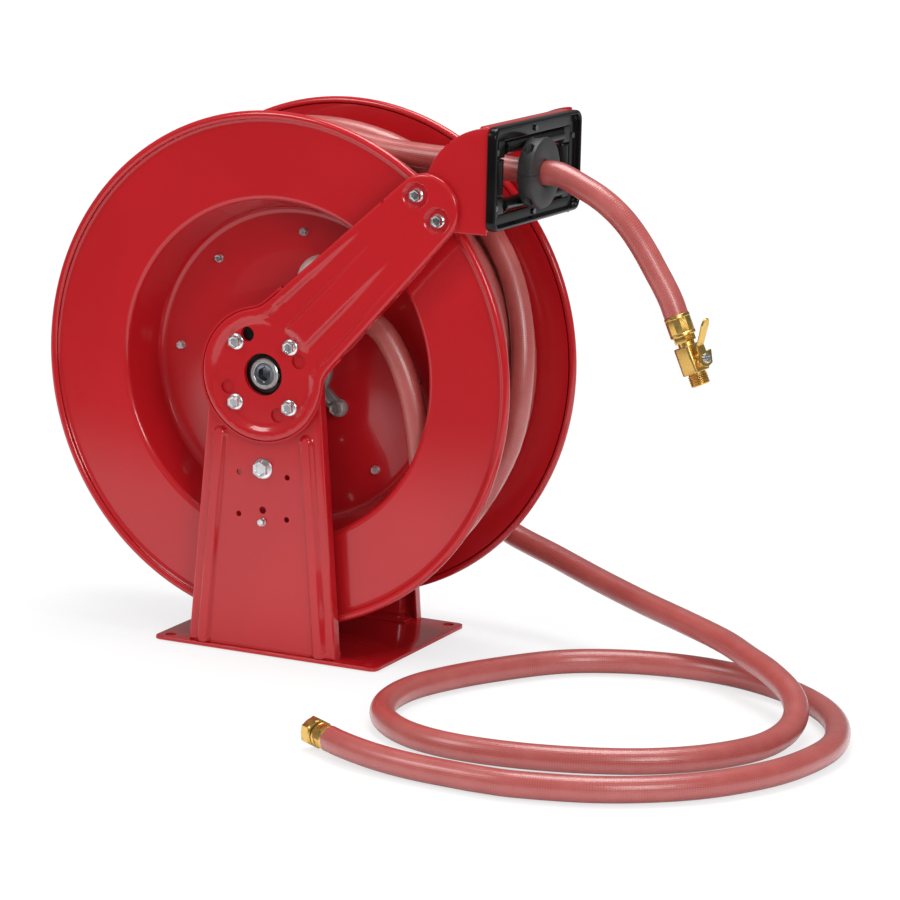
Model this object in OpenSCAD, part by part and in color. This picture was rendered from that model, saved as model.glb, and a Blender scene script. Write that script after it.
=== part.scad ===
/* [Base and posts] */
// Length of the base plate along the disc plane
base_w = 284; // [260:2:320]
// Depth of the base plate along the axle
base_d = 228; // [226:2:260]
// Thickness of the base plate
base_t = 4; // [3:0.5:6]
// Distance between mounting holes along the disc plane
hole_dx = 254; // [220:2:256]
// Distance between mounting holes along the axle
hole_dy = 202; // [180:2:204]
// Diameter of each mounting hole
hole_d = 12.5; // [9:0.5:13]
// Height of the axle above the floor
axle_z = 320; // [315:1:340]
// Half width of a post at its foot
post_foot = 94; // [84:1:100]
// Half width of a post at the axle
post_top = 68; // [66:1:70]

/* [Drum] */
// Outer radius of a disc with its rolled rim
disc_r = 290; // [288:1:300]
// Distance from the middle of the drum to a disc's outer face
disc_y = 86; // [84:1:90]
// Radius of the lip of a disc's well
well_r = 190; // [186:1:192]
// Depth of a disc's well
well_depth = 54; // [50:1:56]
// Radius of the ring of drum screws
screw_ring_r = 150.5; // [148:0.5:156]

/* [Guide arm] */
// Angle of the arms above the horizontal
arm_angle = 45.5; // [44:0.5:47]
// Distance from the axle to the middle of an arm's tip
arm_len = 280; // [278:1:284]
// Radius of an arm's round end at the axle
arm_hub_r = 75; // [74:1:78]
// Radius of an arm's tip
arm_tip_r = 39; // [36:1:42]

/* [Hose] */
// Outer diameter of the hose
hose_d = 27; // [26:0.5:28]
// Radius of the middle line of the outer turns
wind_r = 262; // [260:1:263]
// Diameter of the hose stop
stop_d = 78; // [70:1:84]

/* [Hidden] */

$fn = 64;

// Sheet thicknesses
sheet = 3;
disc_t = 1.6;
// Planes across the axle, measured outwards from the middle of the drum
// The base plate's middle stands this far to the side of the axle
base_x = 5;
post_y = 109;
arm_y = 116;
post_flange = 13;
hub_face_y = post_y + sheet;
shaft_end_y = 110;
// Bolt square of the arm's round end and the ring that its spare holes share
hub_bolt = 34;
hub_ring = hub_bolt * sqrt(2);
spare_angle = 23;
arm_bore_r = 23.7;
hub_dish_r = 61;
// Half widths of the arm where it meets its two round ends
arm_w_hub = 56;
arm_w_tip = arm_tip_r;
tip_screw_u = arm_len + 3;
tip_screw_v = 18.3;
tip_dish_r = 12;
// Shaft and bearings
shaft_r = 17.5;
shaft_bore_r = 12.5;
run_fit = 0.06;
bolt_r = 4.1;
bolt_fit = 0.2;
// Ratchet and pawl, both in one plane behind the front post
latch_y0 = -93;
latch_y1 = -87;
pawl_z = 213;
pawl_bolt_r = 5;
ratchet_tip = 62;
ratchet_root = 53;
ratchet_teeth = 12;
pawl_rest = 125.9;
pawl_len = 56;
// Guide window, its rollers and the frame round them
guide_z = 557;
guide_x = 265;
guide_half_w = 115;
guide_half_h = 57;
roller_r = 8;
roller_x = 267;
roller_dz = 31;
roller_dy = 84;
roller_gap_y = 74;
roller_gap_z = 20;
pin_r = 2.5;
bezel_x0 = 267.5;
bezel_panel = 271.5;
bezel_x1 = 278;
bezel_half_w = 113;
// The hose where it passes the guide, and the stop on it
hose_y = -18;
hose_z = 557;
hose_r = hose_d / 2;
stop_x0 = 276;
stop_x1 = 294;
// Outlet fittings, on a line that leaves the hose's end
outlet_end = [451, hose_y, 416.2];
outlet_tilt = 156.5;
// Inlet fittings at the far end of the inlet hose
inlet_end = [251, -414, 16.5];
inlet_turn = 150;
// Swivel behind the rear post: its middle and the tilt of its branch
swivel_y = 150;
swivel_tilt = 150;
swivel_reach = 95;
core_in = 197;

red = "firebrick";
zinc = "silver";
brass = "goldenrod";
black = [0.1, 0.1, 0.1];
cast = "lightgray";
rose = "indianred";

// Route of the outlet hose, from the stop to its ferrule
outlet_route = [[294, -18, 557], [307, -18, 557], [321, -18, 552.5], [339, -18, 544.5],
    [357, -18, 535.5], [373.5, -18, 524.5], [389.5, -18, 510.5], [403, -18, 495],
    [415, -18, 478.5], [426, -18, 461.5], [436, -18, 446], [444.6, -18, 430.9],
    [451, -18, 416.2]];

// Route of the inlet hose, from the swivel down to the floor and round its loop
inlet_route = [[47.5, 150, 237.7], [56.5, 150, 222.1], [78, 150, 187], [122, 149, 146],
    [188, 141, 114], [256, 122, 97], [322, 98, 82.5], [386, 74, 70.5], [448, 48, 62],
    [507, 20, 54], [548, -12, 49], [584, -40, 44], [620, -75, 35.5], [640, -110, 25.5],
    [646, -155, 17], [637, -208, 13.5], [606, -266, 13.5], [560, -310, 13.5],
    [500, -341, 13.5], [430, -360, 13.5], [360, -363, 13.5], [302, -346, 13.5],
    [257, -308, 13.5], [233, -256, 13.5], [230, -196, 13.5], [248, -136, 13.5],
    [282, -72, 13.5], [327, -12, 13.5], [384, 23, 13.5], [448, 39, 13.5],
    [512, 36, 13.5], [570, 15, 13.5], [618, -17, 13.5], [657, -57, 13.5],
    [685, -106, 13.5], [701, -164, 13.5], [699, -222, 13.5], [682, -285, 13.5],
    [645, -348, 13.5], [600, -393, 13.5], [544, -427, 13.5], [476, -448, 13.5],
    [437, -451.5, 13.5], [403, -450.5, 13.5], [368, -448, 13.5], [340, -444.5, 14],
    [315, -439.5, 14.7], [291, -432.5, 15.6], [266.6, -423, 16.5], [251, -414, 16.5]];

// Places along the outer turns: the angle in degrees and the distance along the axle.
// The first turns lead back from where the hose leaves the drum, and the last ones lie
// beside the front disc.
wind_keys = [[40, -22], [80, -22], [130, -30], [180, -34], [270, -34.5], [300, -33],
    [330, -19], [345, -3], [360, 3], [375, 16], [390, 27], [410, 27], [430, 23],
    [450, 14], [470, 8], [520, 6], [600, 8], [780, 8], [870, -34], [930, -66],
    [1060, -66], [1080, -63], [1100, -55], [1120, -50], [1140, -50], [1160, -53],
    [1190, -62], [1220, -66], [1300, -66]];

function unit(v) = v / norm(v);

// Points of an arc in a plane
function arc(cx, cy, r, a0, a1, n) =
    [for (i = [0:n]) let (a = a0 + (a1 - a0) * i / n) [cx + r * cos(a), cy + r * sin(a)]];

// One step's share of a smooth change from 0 to 1
function ease(t) = (1 - cos(180 * t)) / 2;

// The distance along the axle of the outer turn at an angle
function wind_y(a) =
    let (i = max([for (k = [0:len(wind_keys) - 2]) wind_keys[k][0] <= a ? k : 0]))
    let (p = wind_keys[i], q = wind_keys[i + 1])
    p[1] + (q[1] - p[1]) * ease((a - p[0]) / (q[0] - p[0]));

// Direction of a route at each of its points
function route_dir(p, i) =
    unit((i < len(p) - 1 ? p[i + 1] : p[i]) - (i > 0 ? p[i - 1] : p[i]));

// One ring of points square to a direction
function ring(c, d, r, sides, up) =
    let (s = unit(cross(d, up)), u = cross(s, d))
    [for (k = [0:sides - 1]) let (a = 360 * (k + 0.5) / sides)
        c + r * (cos(a) * s + sin(a) * u)];

// Triangles that close a tube of rings
function tube_faces(n, m) = concat(
    [for (i = [0:n - 2]) for (k = [0:m - 1]) let (b = (k + 1) % m)
        [i * m + k, i * m + b, (i + 1) * m + b]],
    [for (i = [0:n - 2]) for (k = [0:m - 1]) let (b = (k + 1) % m)
        [i * m + k, (i + 1) * m + b, (i + 1) * m + k]],
    [for (k = [1:m - 2]) [0, k + 1, k]],
    [for (k = [1:m - 2]) [(n - 1) * m, (n - 1) * m + k, (n - 1) * m + k + 1]]);

// A tube from its rings of points
module tube(rings) {
    m = len(rings[0]);
    polyhedron(points = [for (g = rings) for (p = g) p],
        faces = tube_faces(len(rings), m), convexity = 8);
}

// A hose swept along a route
module hose(p, r, sides, up = [0, 0, 1]) {
    tube([for (i = [0:len(p) - 1]) ring(p[i], route_dir(p, i), r, sides, up)]);
}

// A plate between two planes across the axle, drawn in x and z
module slab(y0, y1) {
    translate([0, y1, 0]) rotate([90, 0, 0]) linear_extrude(height = y1 - y0) children();
}

// A body turned round the axle, drawn in radius and distance along the axle
module spun() {
    translate([0, 0, axle_z]) rotate([-90, 0, 0]) rotate_extrude($fn = 96) children();
}

// A round rod along the axle's direction
module rod(x, z, r, y0, y1) {
    translate([x, y1, z]) rotate([90, 0, 0]) cylinder(r = r, h = y1 - y0);
}

// A hexagonal bar along the axle's direction, by its width across flats
module hex_rod(x, z, flats, y0, y1) {
    translate([x, y1, z]) rotate([90, 0, 0])
        cylinder(r = flats / sqrt(3), h = y1 - y0, $fn = 6);
}

// A hex flange screw whose head seats on the plane y and faces the front
module flange_screw(x, z, y, r, flange_r, flats, head_h, length) {
    rod(x, z, flange_r, y - 2, y);
    hex_rod(x, z, flats, y - 2 - head_h, y - 2);
    rod(x, z, r, y, y + length);
}

// Children at each corner of the hub's bolt square
module hub_bolt_places() {
    for (sx = [-1, 1], sz = [-1, 1])
        translate([sx * hub_bolt, 0, axle_z + sz * hub_bolt]) children();
}

// A plan drawn along the arm, from the axle outwards
module arm_plane() {
    translate([0, axle_z]) rotate(arm_angle) children();
}

// A rounded rectangle centred on the origin
module round_rect(w, h, r) {
    square([w - 2 * r, h], center = true);
    square([w, h - 2 * r], center = true);
    for (sx = [-1, 1], sy = [-1, 1])
        translate([sx * (w / 2 - r), sy * (h / 2 - r)]) circle(r = r);
}

// ---- Base and posts ----

module base_plate() {
    color(red) translate([base_x, 0, 0]) difference() {
        linear_extrude(height = base_t) round_rect(base_w, base_d, 7);
        for (sx = [-1, 1], sy = [-1, 1])
            translate([sx * hole_dx / 2, sy * hole_dy / 2, -1])
                cylinder(d = hole_d, h = base_t + 2);
    }
}

function post_half(z) = post_foot + (post_top - post_foot) * (z - base_t) / (axle_z - base_t);

// Outline of a post, drawn in x and z
module post_outline(inset) {
    polygon([[-post_half(base_t) + inset, base_t], [post_half(base_t) - inset, base_t],
        [post_half(axle_z) - inset, axle_z], [-post_half(axle_z) + inset, axle_z]]);
    translate([0, axle_z]) circle(r = post_top - inset);
}

// A raised rib beside the post's right edge
module post_rib() {
    lean = atan((post_foot - post_top) / (axle_z - base_t));
    intersection() {
        translate([post_foot - 19, -post_y, 0]) rotate([0, -lean, 0])
            linear_extrude(height = 258)
                polygon([[-9.5, 0], [-5, -5.5], [5, -5.5], [9.5, 0]]);
        translate([0, -post_y - 10, base_t]) cube([150, 20, 300]);
    }
}

module post() {
    difference() {
        union() {
            slab(-post_y, -post_y + sheet) post_outline(0);
            slab(-post_y, -post_y + post_flange) difference() {
                post_outline(0);
                post_outline(sheet);
            }
            post_rib();
            mirror([1, 0, 0]) post_rib();
            translate([-post_foot + 8, -post_y, base_t])
                cube([2 * post_foot - 16, 30, sheet]);
        }
        // Bearing bore, hub screws and one spare hole of the arm's ring
        rod(0, axle_z, arm_bore_r, -200, 0);
        for (sx = [-1, 1], sz = [-1, 1])
            rod(sx * hub_bolt, axle_z + sz * hub_bolt, bolt_r + bolt_fit, -200, 0);
        rod(hub_ring * cos(90 + spare_angle), axle_z + hub_ring * sin(90 + spare_angle),
            8.3, -200, 0);
        // Latch bolt, the four spare holes of the latch, its sight hole and spring screw
        rod(0, pawl_z, pawl_bolt_r + 0.2, -200, 0);
        for (sx = [-1, 1], z = [158, 206])
            rod(sx * 30.4, z, 3.3, -200, 0);
        rod(0, 165.5, 4.2, -200, 0);
        rod(0, 152, 2.7, -200, 0);
    }
}

module front_post() {
    color(red) post();
}

module rear_post() {
    color(red) mirror([0, 1, 0]) post();
}

// ---- Guide arms ----

// Outline of an arm, drawn in its own plane
module arm_outline(inset) {
    circle(r = arm_hub_r - inset);
    translate([arm_len, 0]) circle(r = arm_tip_r - inset);
    polygon([[0, arm_w_hub - inset], [arm_len, arm_w_tip - inset],
        [arm_len, -arm_w_tip + inset], [0, -arm_w_hub + inset]]);
}

// A dished seat in the arm: its wall and its floor
module dish(u, v, r) {
    slab(-arm_y, -post_y) arm_plane() translate([u, v]) difference() {
        circle(r = r + sheet);
        circle(r = r);
    }
    slab(-hub_face_y, -post_y) arm_plane() translate([u, v]) circle(r = r + 1);
}

module arm() {
    difference() {
        union() {
            slab(-arm_y, -arm_y + sheet) arm_plane() difference() {
                arm_outline(0);
                circle(r = hub_dish_r);
                for (s = [-1, 1])
                    translate([tip_screw_u, s * tip_screw_v]) circle(r = tip_dish_r);
            }
            slab(-arm_y, -post_y) arm_plane() difference() {
                arm_outline(0);
                arm_outline(sheet);
            }
            dish(0, 0, hub_dish_r);
            for (s = [-1, 1]) dish(tip_screw_u, s * tip_screw_v, tip_dish_r);
            // Two pressed ribs that taper away along the arm
            slab(-arm_y - 2.5, -arm_y) arm_plane() {
                polygon([[66, 40.5], [66, 34.5], [200, 33.5]]);
                polygon([[66, -5], [72, -14], [206, -10.5]]);
            }
        }
        rod(0, axle_z, arm_bore_r, -200, 0);
        for (sx = [-1, 1], sz = [-1, 1])
            rod(sx * hub_bolt, axle_z + sz * hub_bolt, bolt_r + bolt_fit, -200, 0);
        for (k = [0:3]) {
            a = spare_angle + 90 * k;
            rod(hub_ring * cos(a), axle_z + hub_ring * sin(a), 8.3, -200, 0);
        }
        slab(-200, 0) arm_plane() for (s = [-1, 1])
            translate([tip_screw_u, s * tip_screw_v]) circle(r = bolt_r + bolt_fit);
    }
}

module front_arm() {
    color(red) arm();
}

module rear_arm() {
    color(red) mirror([0, 1, 0]) arm();
}

module arm_hub_screws() {
    color(zinc) for (side = [0, 1]) mirror([0, side, 0])
        hub_bolt_places() flange_screw(0, 0, -hub_face_y, bolt_r, 9, 13, 5.5, 13);
}

// Places of the two screws of an arm's tip
function tip_screw(s) = [tip_screw_u * cos(arm_angle) - s * tip_screw_v * sin(arm_angle),
    axle_z + tip_screw_u * sin(arm_angle) + s * tip_screw_v * cos(arm_angle)];

module arm_tip_screws() {
    color(zinc) for (side = [0, 1]) mirror([0, side, 0]) for (s = [-1, 1]) {
        p = tip_screw(s);
        flange_screw(p[0], p[1], -hub_face_y, bolt_r, 8, 12, 5, 8);
    }
}

// ---- Bearings and shaft ----

module bearing() {
    difference() {
        union() {
            rod(0, axle_z, 60, -post_y + sheet, -post_y + sheet + 5);
            rod(0, axle_z, 31, -post_y + sheet, -94);
        }
        rod(0, axle_z, shaft_r + run_fit, -200, 0);
        for (sx = [-1, 1], sz = [-1, 1])
            rod(sx * hub_bolt, axle_z + sz * hub_bolt, bolt_r + bolt_fit, -200, 0);
    }
}

module front_bearing() {
    color(zinc) bearing();
}

module rear_bearing() {
    color(zinc) mirror([0, 1, 0]) bearing();
}

module shaft() {
    color(cast) spun() polygon([[shaft_bore_r, -shaft_end_y], [shaft_r - 1.5, -shaft_end_y],
        [shaft_r, -shaft_end_y + 1.5], [shaft_r, 124], [15, 124], [15, 150], [9, 150],
        [9, 60], [shaft_bore_r, 60]]);
}

module shaft_plug() {
    color(zinc) difference() {
        rod(0, axle_z, shaft_bore_r, -shaft_end_y + 1, -shaft_end_y + 19);
        hex_rod(0, axle_z, 14.3, -shaft_end_y, -shaft_end_y + 11);
    }
}

// Split rings that hold the shaft against both bearings
module retaining_rings() {
    color(zinc) for (y = [-107.6, 106.1]) difference() {
        rod(0, axle_z, 20.8, y, y + 1.5);
        rod(0, axle_z, shaft_r, y - 1, y + 3);
        translate([0, y - 1, axle_z - 2.5]) cube([40, 4, 5]);
    }
}

// ---- Drum ----

// Section of a disc: radius, and depth from its outer face into the drum
function disc_section(t) = concat(
    arc(disc_r - 4.75, -2.2, 4.75, 120, -152, 14),
    arc(well_r + 6, 6, 6, 270, 180, 6),
    arc(well_r - 19.5, well_depth - 8, 8, 0, 90, 6),
    [[shaft_r + 0.1, well_depth], [shaft_r + 0.1, well_depth + t]],
    arc(well_r - 19.5, well_depth - 8, 8 + t, 90, 0, 6),
    arc(well_r + 6, 6, 6 - t, 180, 270, 6),
    [[disc_r - 10, t]]);

// Where the hose leaves the well: a point on the wall, and the hose's slant there
lead_hole = [169.5, -60, -76];
lead_slant = 172;

module disc_body() {
    difference() {
        spun() polygon([for (p = disc_section(disc_t)) [p[0], p[1] - disc_y]]);
        for (k = [0:7]) {
            a = 42.5 + 45 * k;
            rod(screw_ring_r * cos(a), axle_z + screw_ring_r * sin(a), 2.4, -200, 0);
        }
        for (k = [0:3]) {
            a = -39 + 90 * k;
            rod(71 * cos(a), axle_z + 71 * sin(a), bolt_r + bolt_fit, -200, 0);
        }
    }
}

module front_disc() {
    color(red) difference() {
        disc_body();
        translate([lead_hole[0], lead_hole[1], axle_z + lead_hole[2]])
            rotate([0, lead_slant, 0]) cylinder(r = 17, h = 90, center = true);
    }
}

module rear_disc() {
    color(red) mirror([0, 1, 0]) disc_body();
}

// Band between the floors of the two wells, with a flange at each end
module drum_band() {
    floor_y = disc_y - well_depth - disc_t;
    color(red) difference() {
        spun() polygon([[140, -floor_y], [170, -floor_y], [170, floor_y], [140, floor_y],
            [140, floor_y - 2], [168, floor_y - 2], [168, 2 - floor_y], [140, 2 - floor_y]]);
        for (k = [0:7]) {
            a = 42.5 + 45 * k;
            rod(screw_ring_r * cos(a), axle_z + screw_ring_r * sin(a), 2.4, -200, 200);
        }
    }
}

module disc_screws() {
    floor_y = disc_y - well_depth;
    color(zinc) for (side = [0, 1]) mirror([0, side, 0]) for (k = [0:7]) {
        a = 42.5 + 45 * k;
        flange_screw(screw_ring_r * cos(a), axle_z + screw_ring_r * sin(a),
            -floor_y, 2.3, 5.2, 7.5, 3.2, 7);
    }
}

// Cast hub that carries the drum on the shaft
module hub_casting() {
    floor_y = disc_y - well_depth;
    color(cast) difference() {
        union() {
            rod(0, axle_z, 34, latch_y1, -floor_y);
            slab(-floor_y - 8, -floor_y) translate([0, axle_z]) {
                circle(r = 46);
                for (k = [0:3]) rotate(-39 + 90 * k) {
                    translate([0, -8]) square([71, 16]);
                    translate([71, 0]) circle(r = 11);
                }
            }
        }
        rod(0, axle_z, shaft_r + 0.02, -200, 0);
        for (k = [0:3]) {
            a = -39 + 90 * k;
            rod(71 * cos(a), axle_z + 71 * sin(a), bolt_r + bolt_fit, -200, 0);
        }
    }
}

module hub_bolts() {
    floor_y = disc_y - well_depth;
    color(zinc) for (k = [0:3]) {
        a = -39 + 90 * k;
        flange_screw(71 * cos(a), axle_z + 71 * sin(a), -floor_y - 8, bolt_r, 9, 12, 5, 15);
    }
}

// ---- Latch ----

function polar(r, a) = [r * cos(a), r * sin(a)];

module ratchet_wheel() {
    step = 360 / ratchet_teeth;
    color(zinc) slab(latch_y0, latch_y1) translate([0, axle_z]) difference() {
        polygon([for (k = [0:ratchet_teeth - 1]) let (a = -118 + step * k)
            each [polar(ratchet_root, a), polar(ratchet_root, a + 11),
                polar(ratchet_tip, a + step - 0.5)]]);
        circle(r = shaft_r + 0.02);
    }
}

module latch_pawl() {
    color(zinc) rod(26 * cos(84), pawl_z - 26 * sin(84), 2, latch_y0 - 5.5, latch_y0 + 1);
    color(zinc) slab(latch_y0, latch_y1) translate([0, pawl_z]) difference() {
        union() {
            circle(r = 11);
            rotate(pawl_rest) {
                polygon([[0, -8], [pawl_len, -3], [pawl_len, 3], [0, 8]]);
                translate([pawl_len - 2, 0]) circle(r = 4);
            }
            rotate(-84) {
                translate([0, -5]) square([26, 10]);
                translate([26, 0]) circle(r = 6);
            }
        }
        circle(r = pawl_bolt_r + run_fit);
    }
}

module pawl_bolt() {
    color(zinc) {
        flange_screw(0, pawl_z, -post_y, pawl_bolt_r, 11.5, 16, 7, 26);
        difference() {
            hex_rod(0, pawl_z, 16, latch_y1 + 0.3, latch_y1 + 4.3);
            rod(0, pawl_z, pawl_bolt_r, latch_y1, latch_y1 + 8);
        }
    }
}

module pawl_spacer() {
    color(zinc) difference() {
        rod(0, pawl_z, 9, -post_y + sheet, latch_y0 - 0.3);
        rod(0, pawl_z, pawl_bolt_r, -200, 0);
    }
}

// Latch spring: a straight end at its screw, ten turns, and a straight end at the
// pawl's pin
module latch_spring() {
    turns = 10;
    coil_r = 4;
    c = [2.7, -92];
    z0 = 158.5;
    z1 = 178;
    n = 8 * turns;
    function side(a) = [cos(a), sin(a), 0];
    function turn(i) = let (a = 45 * i - 90)
        [c[0] + coil_r * cos(a), c[1] + coil_r * sin(a), z0 + (z1 - z0) * i / n];
    p = concat([[c[0], c[1] - coil_r, 153.2], [c[0], c[1] - coil_r, 157]],
        [for (i = [0:n]) turn(i)],
        [[c[0], c[1] - coil_r, 180], [c[0], c[1] - coil_r, 184.9]]);
    color(zinc) tube([for (i = [0:len(p) - 1])
        ring(p[i], route_dir(p, i), 0.8, 6, side(45 * (i - 2) - 90))]);
}

module spring_hook_screw() {
    color(zinc) flange_screw(0, 152, -post_y, 2.5, 4.8, 7, 3.5, 17);
}

// ---- Spring motor ----

case_r = 138;
case_y0 = 34;
case_y1 = 82;

module spring_case() {
    color(red) difference() {
        spun() polygon([[shaft_r + 2, case_y0], [case_r, case_y0], [case_r, case_y1],
            [case_r - 2, case_y1], [case_r - 2, case_y0 + 2], [shaft_r + 2, case_y0 + 2]]);
        for (k = [0:3]) {
            a = -39 + 90 * k;
            rod(71 * cos(a), axle_z + 71 * sin(a), 10, 0, 35.9);
        }
    }
}

module spring_cover() {
    color(red) difference() {
        spun() polygon([[31, case_y1], [case_r + 0.3, case_y1], [case_r + 0.3, case_y1 - 8],
            [case_r + 2.3, case_y1 - 8], [case_r + 2.3, case_y1 + 2], [31, case_y1 + 2]]);
        for (k = [0:5])
            rod(60 * cos(60 * k + 20), axle_z + 60 * sin(60 * k + 20), 3, 0, 200);
    }
}

module cover_screws() {
    color(zinc) mirror([0, 1, 0]) for (k = [0:5])
        flange_screw(60 * cos(60 * k + 20), axle_z + 60 * sin(60 * k + 20),
            -case_y1 - 2, 2.8, 6, 8, 3, 1.9);
}

// Flat spring wound from the arbor out to the case
module power_spring() {
    turns = 9;
    steps = 20;
    r0 = 28;
    r1 = 133;
    strip = 1.4;
    n = turns * steps;
    function spiral_r(i) = r0 + (r1 - r0) * pow(i / n, 0.55);
    color("dimgray") slab(case_y0 + 5, case_y1 - 3) translate([0, axle_z])
        polygon(concat([for (i = [0:n]) polar(spiral_r(i), 360 * i / steps)],
            [for (i = [n:-1:0]) polar(spiral_r(i) + strip, 360 * i / steps)]));
}

module spring_arbor() {
    color(cast) difference() {
        rod(0, axle_z, 27, case_y0 + 4, 94);
        rod(0, axle_z, shaft_r + 1.2, 0, 200);
    }
}

// ---- Hose from the hub to the drum ----

elbow_k = [46, 108];
elbow_slant = -37;
elbow_y = -60;

module riser_elbow() {
    color(cast) difference() {
        union() {
            translate([elbow_k[0], 0, axle_z + elbow_k[1]]) rotate([-90, 0, 0])
                rotate_extrude() polygon(concat([[0, elbow_y - 17]],
                    arc(21, elbow_y - 11, 6, 270, 360, 5),
                    arc(21, elbow_y + 11, 6, 0, 90, 5), [[0, elbow_y + 17]]));
            translate([0, elbow_y, axle_z])
                rotate([0, 90 - atan2(elbow_k[1], elbow_k[0]), 0])
                    cylinder(r = 14, h = norm(elbow_k));
            translate([elbow_k[0], elbow_y, axle_z + elbow_k[1]])
                rotate([0, 90 - elbow_slant, 0]) {
                    cylinder(r = 16, h = 38);
                    translate([0, 0, 33]) cylinder(r = 19, h = 8, $fn = 6);
                }
        }
        rod(0, axle_z, 34, -200, 0);
    }
}

module riser_ferrule() {
    color(brass) translate([elbow_k[0], elbow_y, axle_z + elbow_k[1]])
        rotate([0, 90 - elbow_slant, 0]) translate([0, 0, 41]) {
            cylinder(r = 15.8, h = 36);
            translate([0, 0, 36]) cylinder(r1 = 15.8, r2 = 14.8, h = 3);
        }
}

module hose_lead() {
    p = [[109.9, 59.8], [123.5, 49.6], [137, 31], [147.5, 11], [156, -11], [162.5, -34],
        [166.7, -56], [169.5, -76], [171.6, -91]];
    color(rose) hose([for (q = p) [q[0], elbow_y, axle_z + q[1]]], hose_r, 12, [0, 1, 0]);
}

// Inner layers of the wound hose, with the rounds of their top layer
layer_turns = 6;
layer_pitch = 28;
layer_r = wind_r - hose_d;
module hose_core() {
    half = (layer_turns - 1) * layer_pitch / 2;
    color(rose) difference() {
        spun() polygon(concat([[core_in, 3 - disc_y + disc_t], [layer_r, 3 - disc_y + disc_t]],
            [for (k = [0:layer_turns - 1], a = [160:-20:20])
                [layer_r + hose_r * sin(a), k * layer_pitch - half + hose_r * cos(a)]],
            [[layer_r, disc_y - disc_t - 3], [core_in, disc_y - disc_t - 3]]));
        translate([lead_hole[0], lead_hole[1], axle_z + lead_hole[2]])
            rotate([0, lead_slant, 0]) cylinder(r = hose_r + 0.3, h = 60, center = true);
    }
}

// Outer turns of the wound hose: its ends sink between the turns below, and so does the
// stretch that links the two groups of turns
wind_a0 = 40;
wind_a1 = 1230;
wind_step = 11.9;
wind_sink = 40;
function rise(a, b, x) = ease(min(1, max(0, (x - a) / (b - a))));
function wind_point(a) =
    let (dive = 1 - rise(40, 78, a) + rise(560, 600, a) - rise(890, 930, a)
        + rise(1195, 1230, a))
    let (r = wind_r - wind_sink * dive)
    [r * cos(a), wind_y(a), axle_z + r * sin(a)];
wind_path = [for (a = [wind_a0:wind_step:wind_a1]) wind_point(a)];
wind_gap = min([for (i = [0:len(wind_path) - 1]) for (j = [i + 14:1:len(wind_path) - 1])
    norm(wind_path[i] - wind_path[j])]) - hose_d;
echo(least_gap_of_the_winding_to_itself_mm = wind_gap);

module hose_winding() {
    n = len(wind_path);
    color(rose) tube([for (i = [0:n - 1])
        let (p = wind_path[i], out = unit([p[0], 0, p[2] - axle_z]))
        ring(p, route_dir(wind_path, i), hose_r, 6, out)]);
}

// The stretch of hose that runs from the drum through the guide and the stop.
// Its underside stays clear of the space that the turning drum sweeps.
run_clear = wind_r + hose_r + 1.8;
run_points = [[94, -22, 569.6], [106, -21.6, 568.1], [128, -21, 566], [155, -20.5, 564.4],
    [182, -20, 563.1], [210, -19.5, 561.4], [235, -19, 559.6], [256, -18.5, 558]];
function lift(p) =
    let (r = norm([p[0], p[2] - axle_z]), k = max(1, run_clear / r))
    [p[0] * k, p[1], axle_z + (p[2] - axle_z) * k];

module hose_run() {
    p = concat(run_points, [[stop_x0, hose_y, hose_z], [stop_x1, hose_y, hose_z]]);
    color(rose) tube([for (i = [0:len(p) - 1])
        [for (q = ring(p[i], i > 7 ? [1, 0, 0] : route_dir(p, i), hose_r, 12, [0, 0, 1]))
            lift(q)]]);
}

// ---- Guide ----

// Side outline of the guide housing, drawn in x and z; the ear's top rises by the given
// height
module ear_outline(rise = 0) {
    tip = [tip_screw(0)[0], tip_screw(0)[1]];
    intersection() {
        union() {
            translate([273, 530]) circle(r = 82.5 + rise);
            translate(tip) circle(r = 33);
        }
        translate([100, 497]) square([guide_x + 2.5 - 100, 115.5 + rise]);
    }
}

module guide_housing() {
    color(red) difference() {
        union() {
            slab(-post_y, -post_y + 2.5) ear_outline();
            slab(post_y - 2.5, post_y) ear_outline(3);
            translate([guide_x, -post_y, guide_z - guide_half_h])
                cube([2.5, 2 * post_y, 2 * guide_half_h - 1]);
            for (z = [guide_z - guide_half_h, guide_z + guide_half_h - 3.5])
                translate([guide_x - 6, -post_y, z]) cube([8, 2 * post_y, 2.5]);
        }
        translate([guide_x - 1, -93, guide_z - 40]) cube([5, 186, 80]);
        for (s = [-1, 1]) {
            p = tip_screw(s);
            rod(p[0], p[1], bolt_r + bolt_fit, -200, 200);
        }
        for (q = bezel_screw_places)
            translate([200, q[0], q[1]]) rotate([0, 90, 0]) cylinder(r = 1.9, h = 80);
    }
}

bezel_screw_places = [[-97.5, guide_z - 32], [-97.5, guide_z + 28], [98.5, guide_z - 32],
    [98.5, guide_z + 28], [0, guide_z - 45.5], [0, guide_z + 45.5]];

// Places the children at the guide's middle, drawn in y and z, and extrudes along x
module guide_slab(x0, x1) {
    translate([x0, 0, guide_z]) rotate([90, 0, 90]) linear_extrude(height = x1 - x0) children();
}

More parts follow.
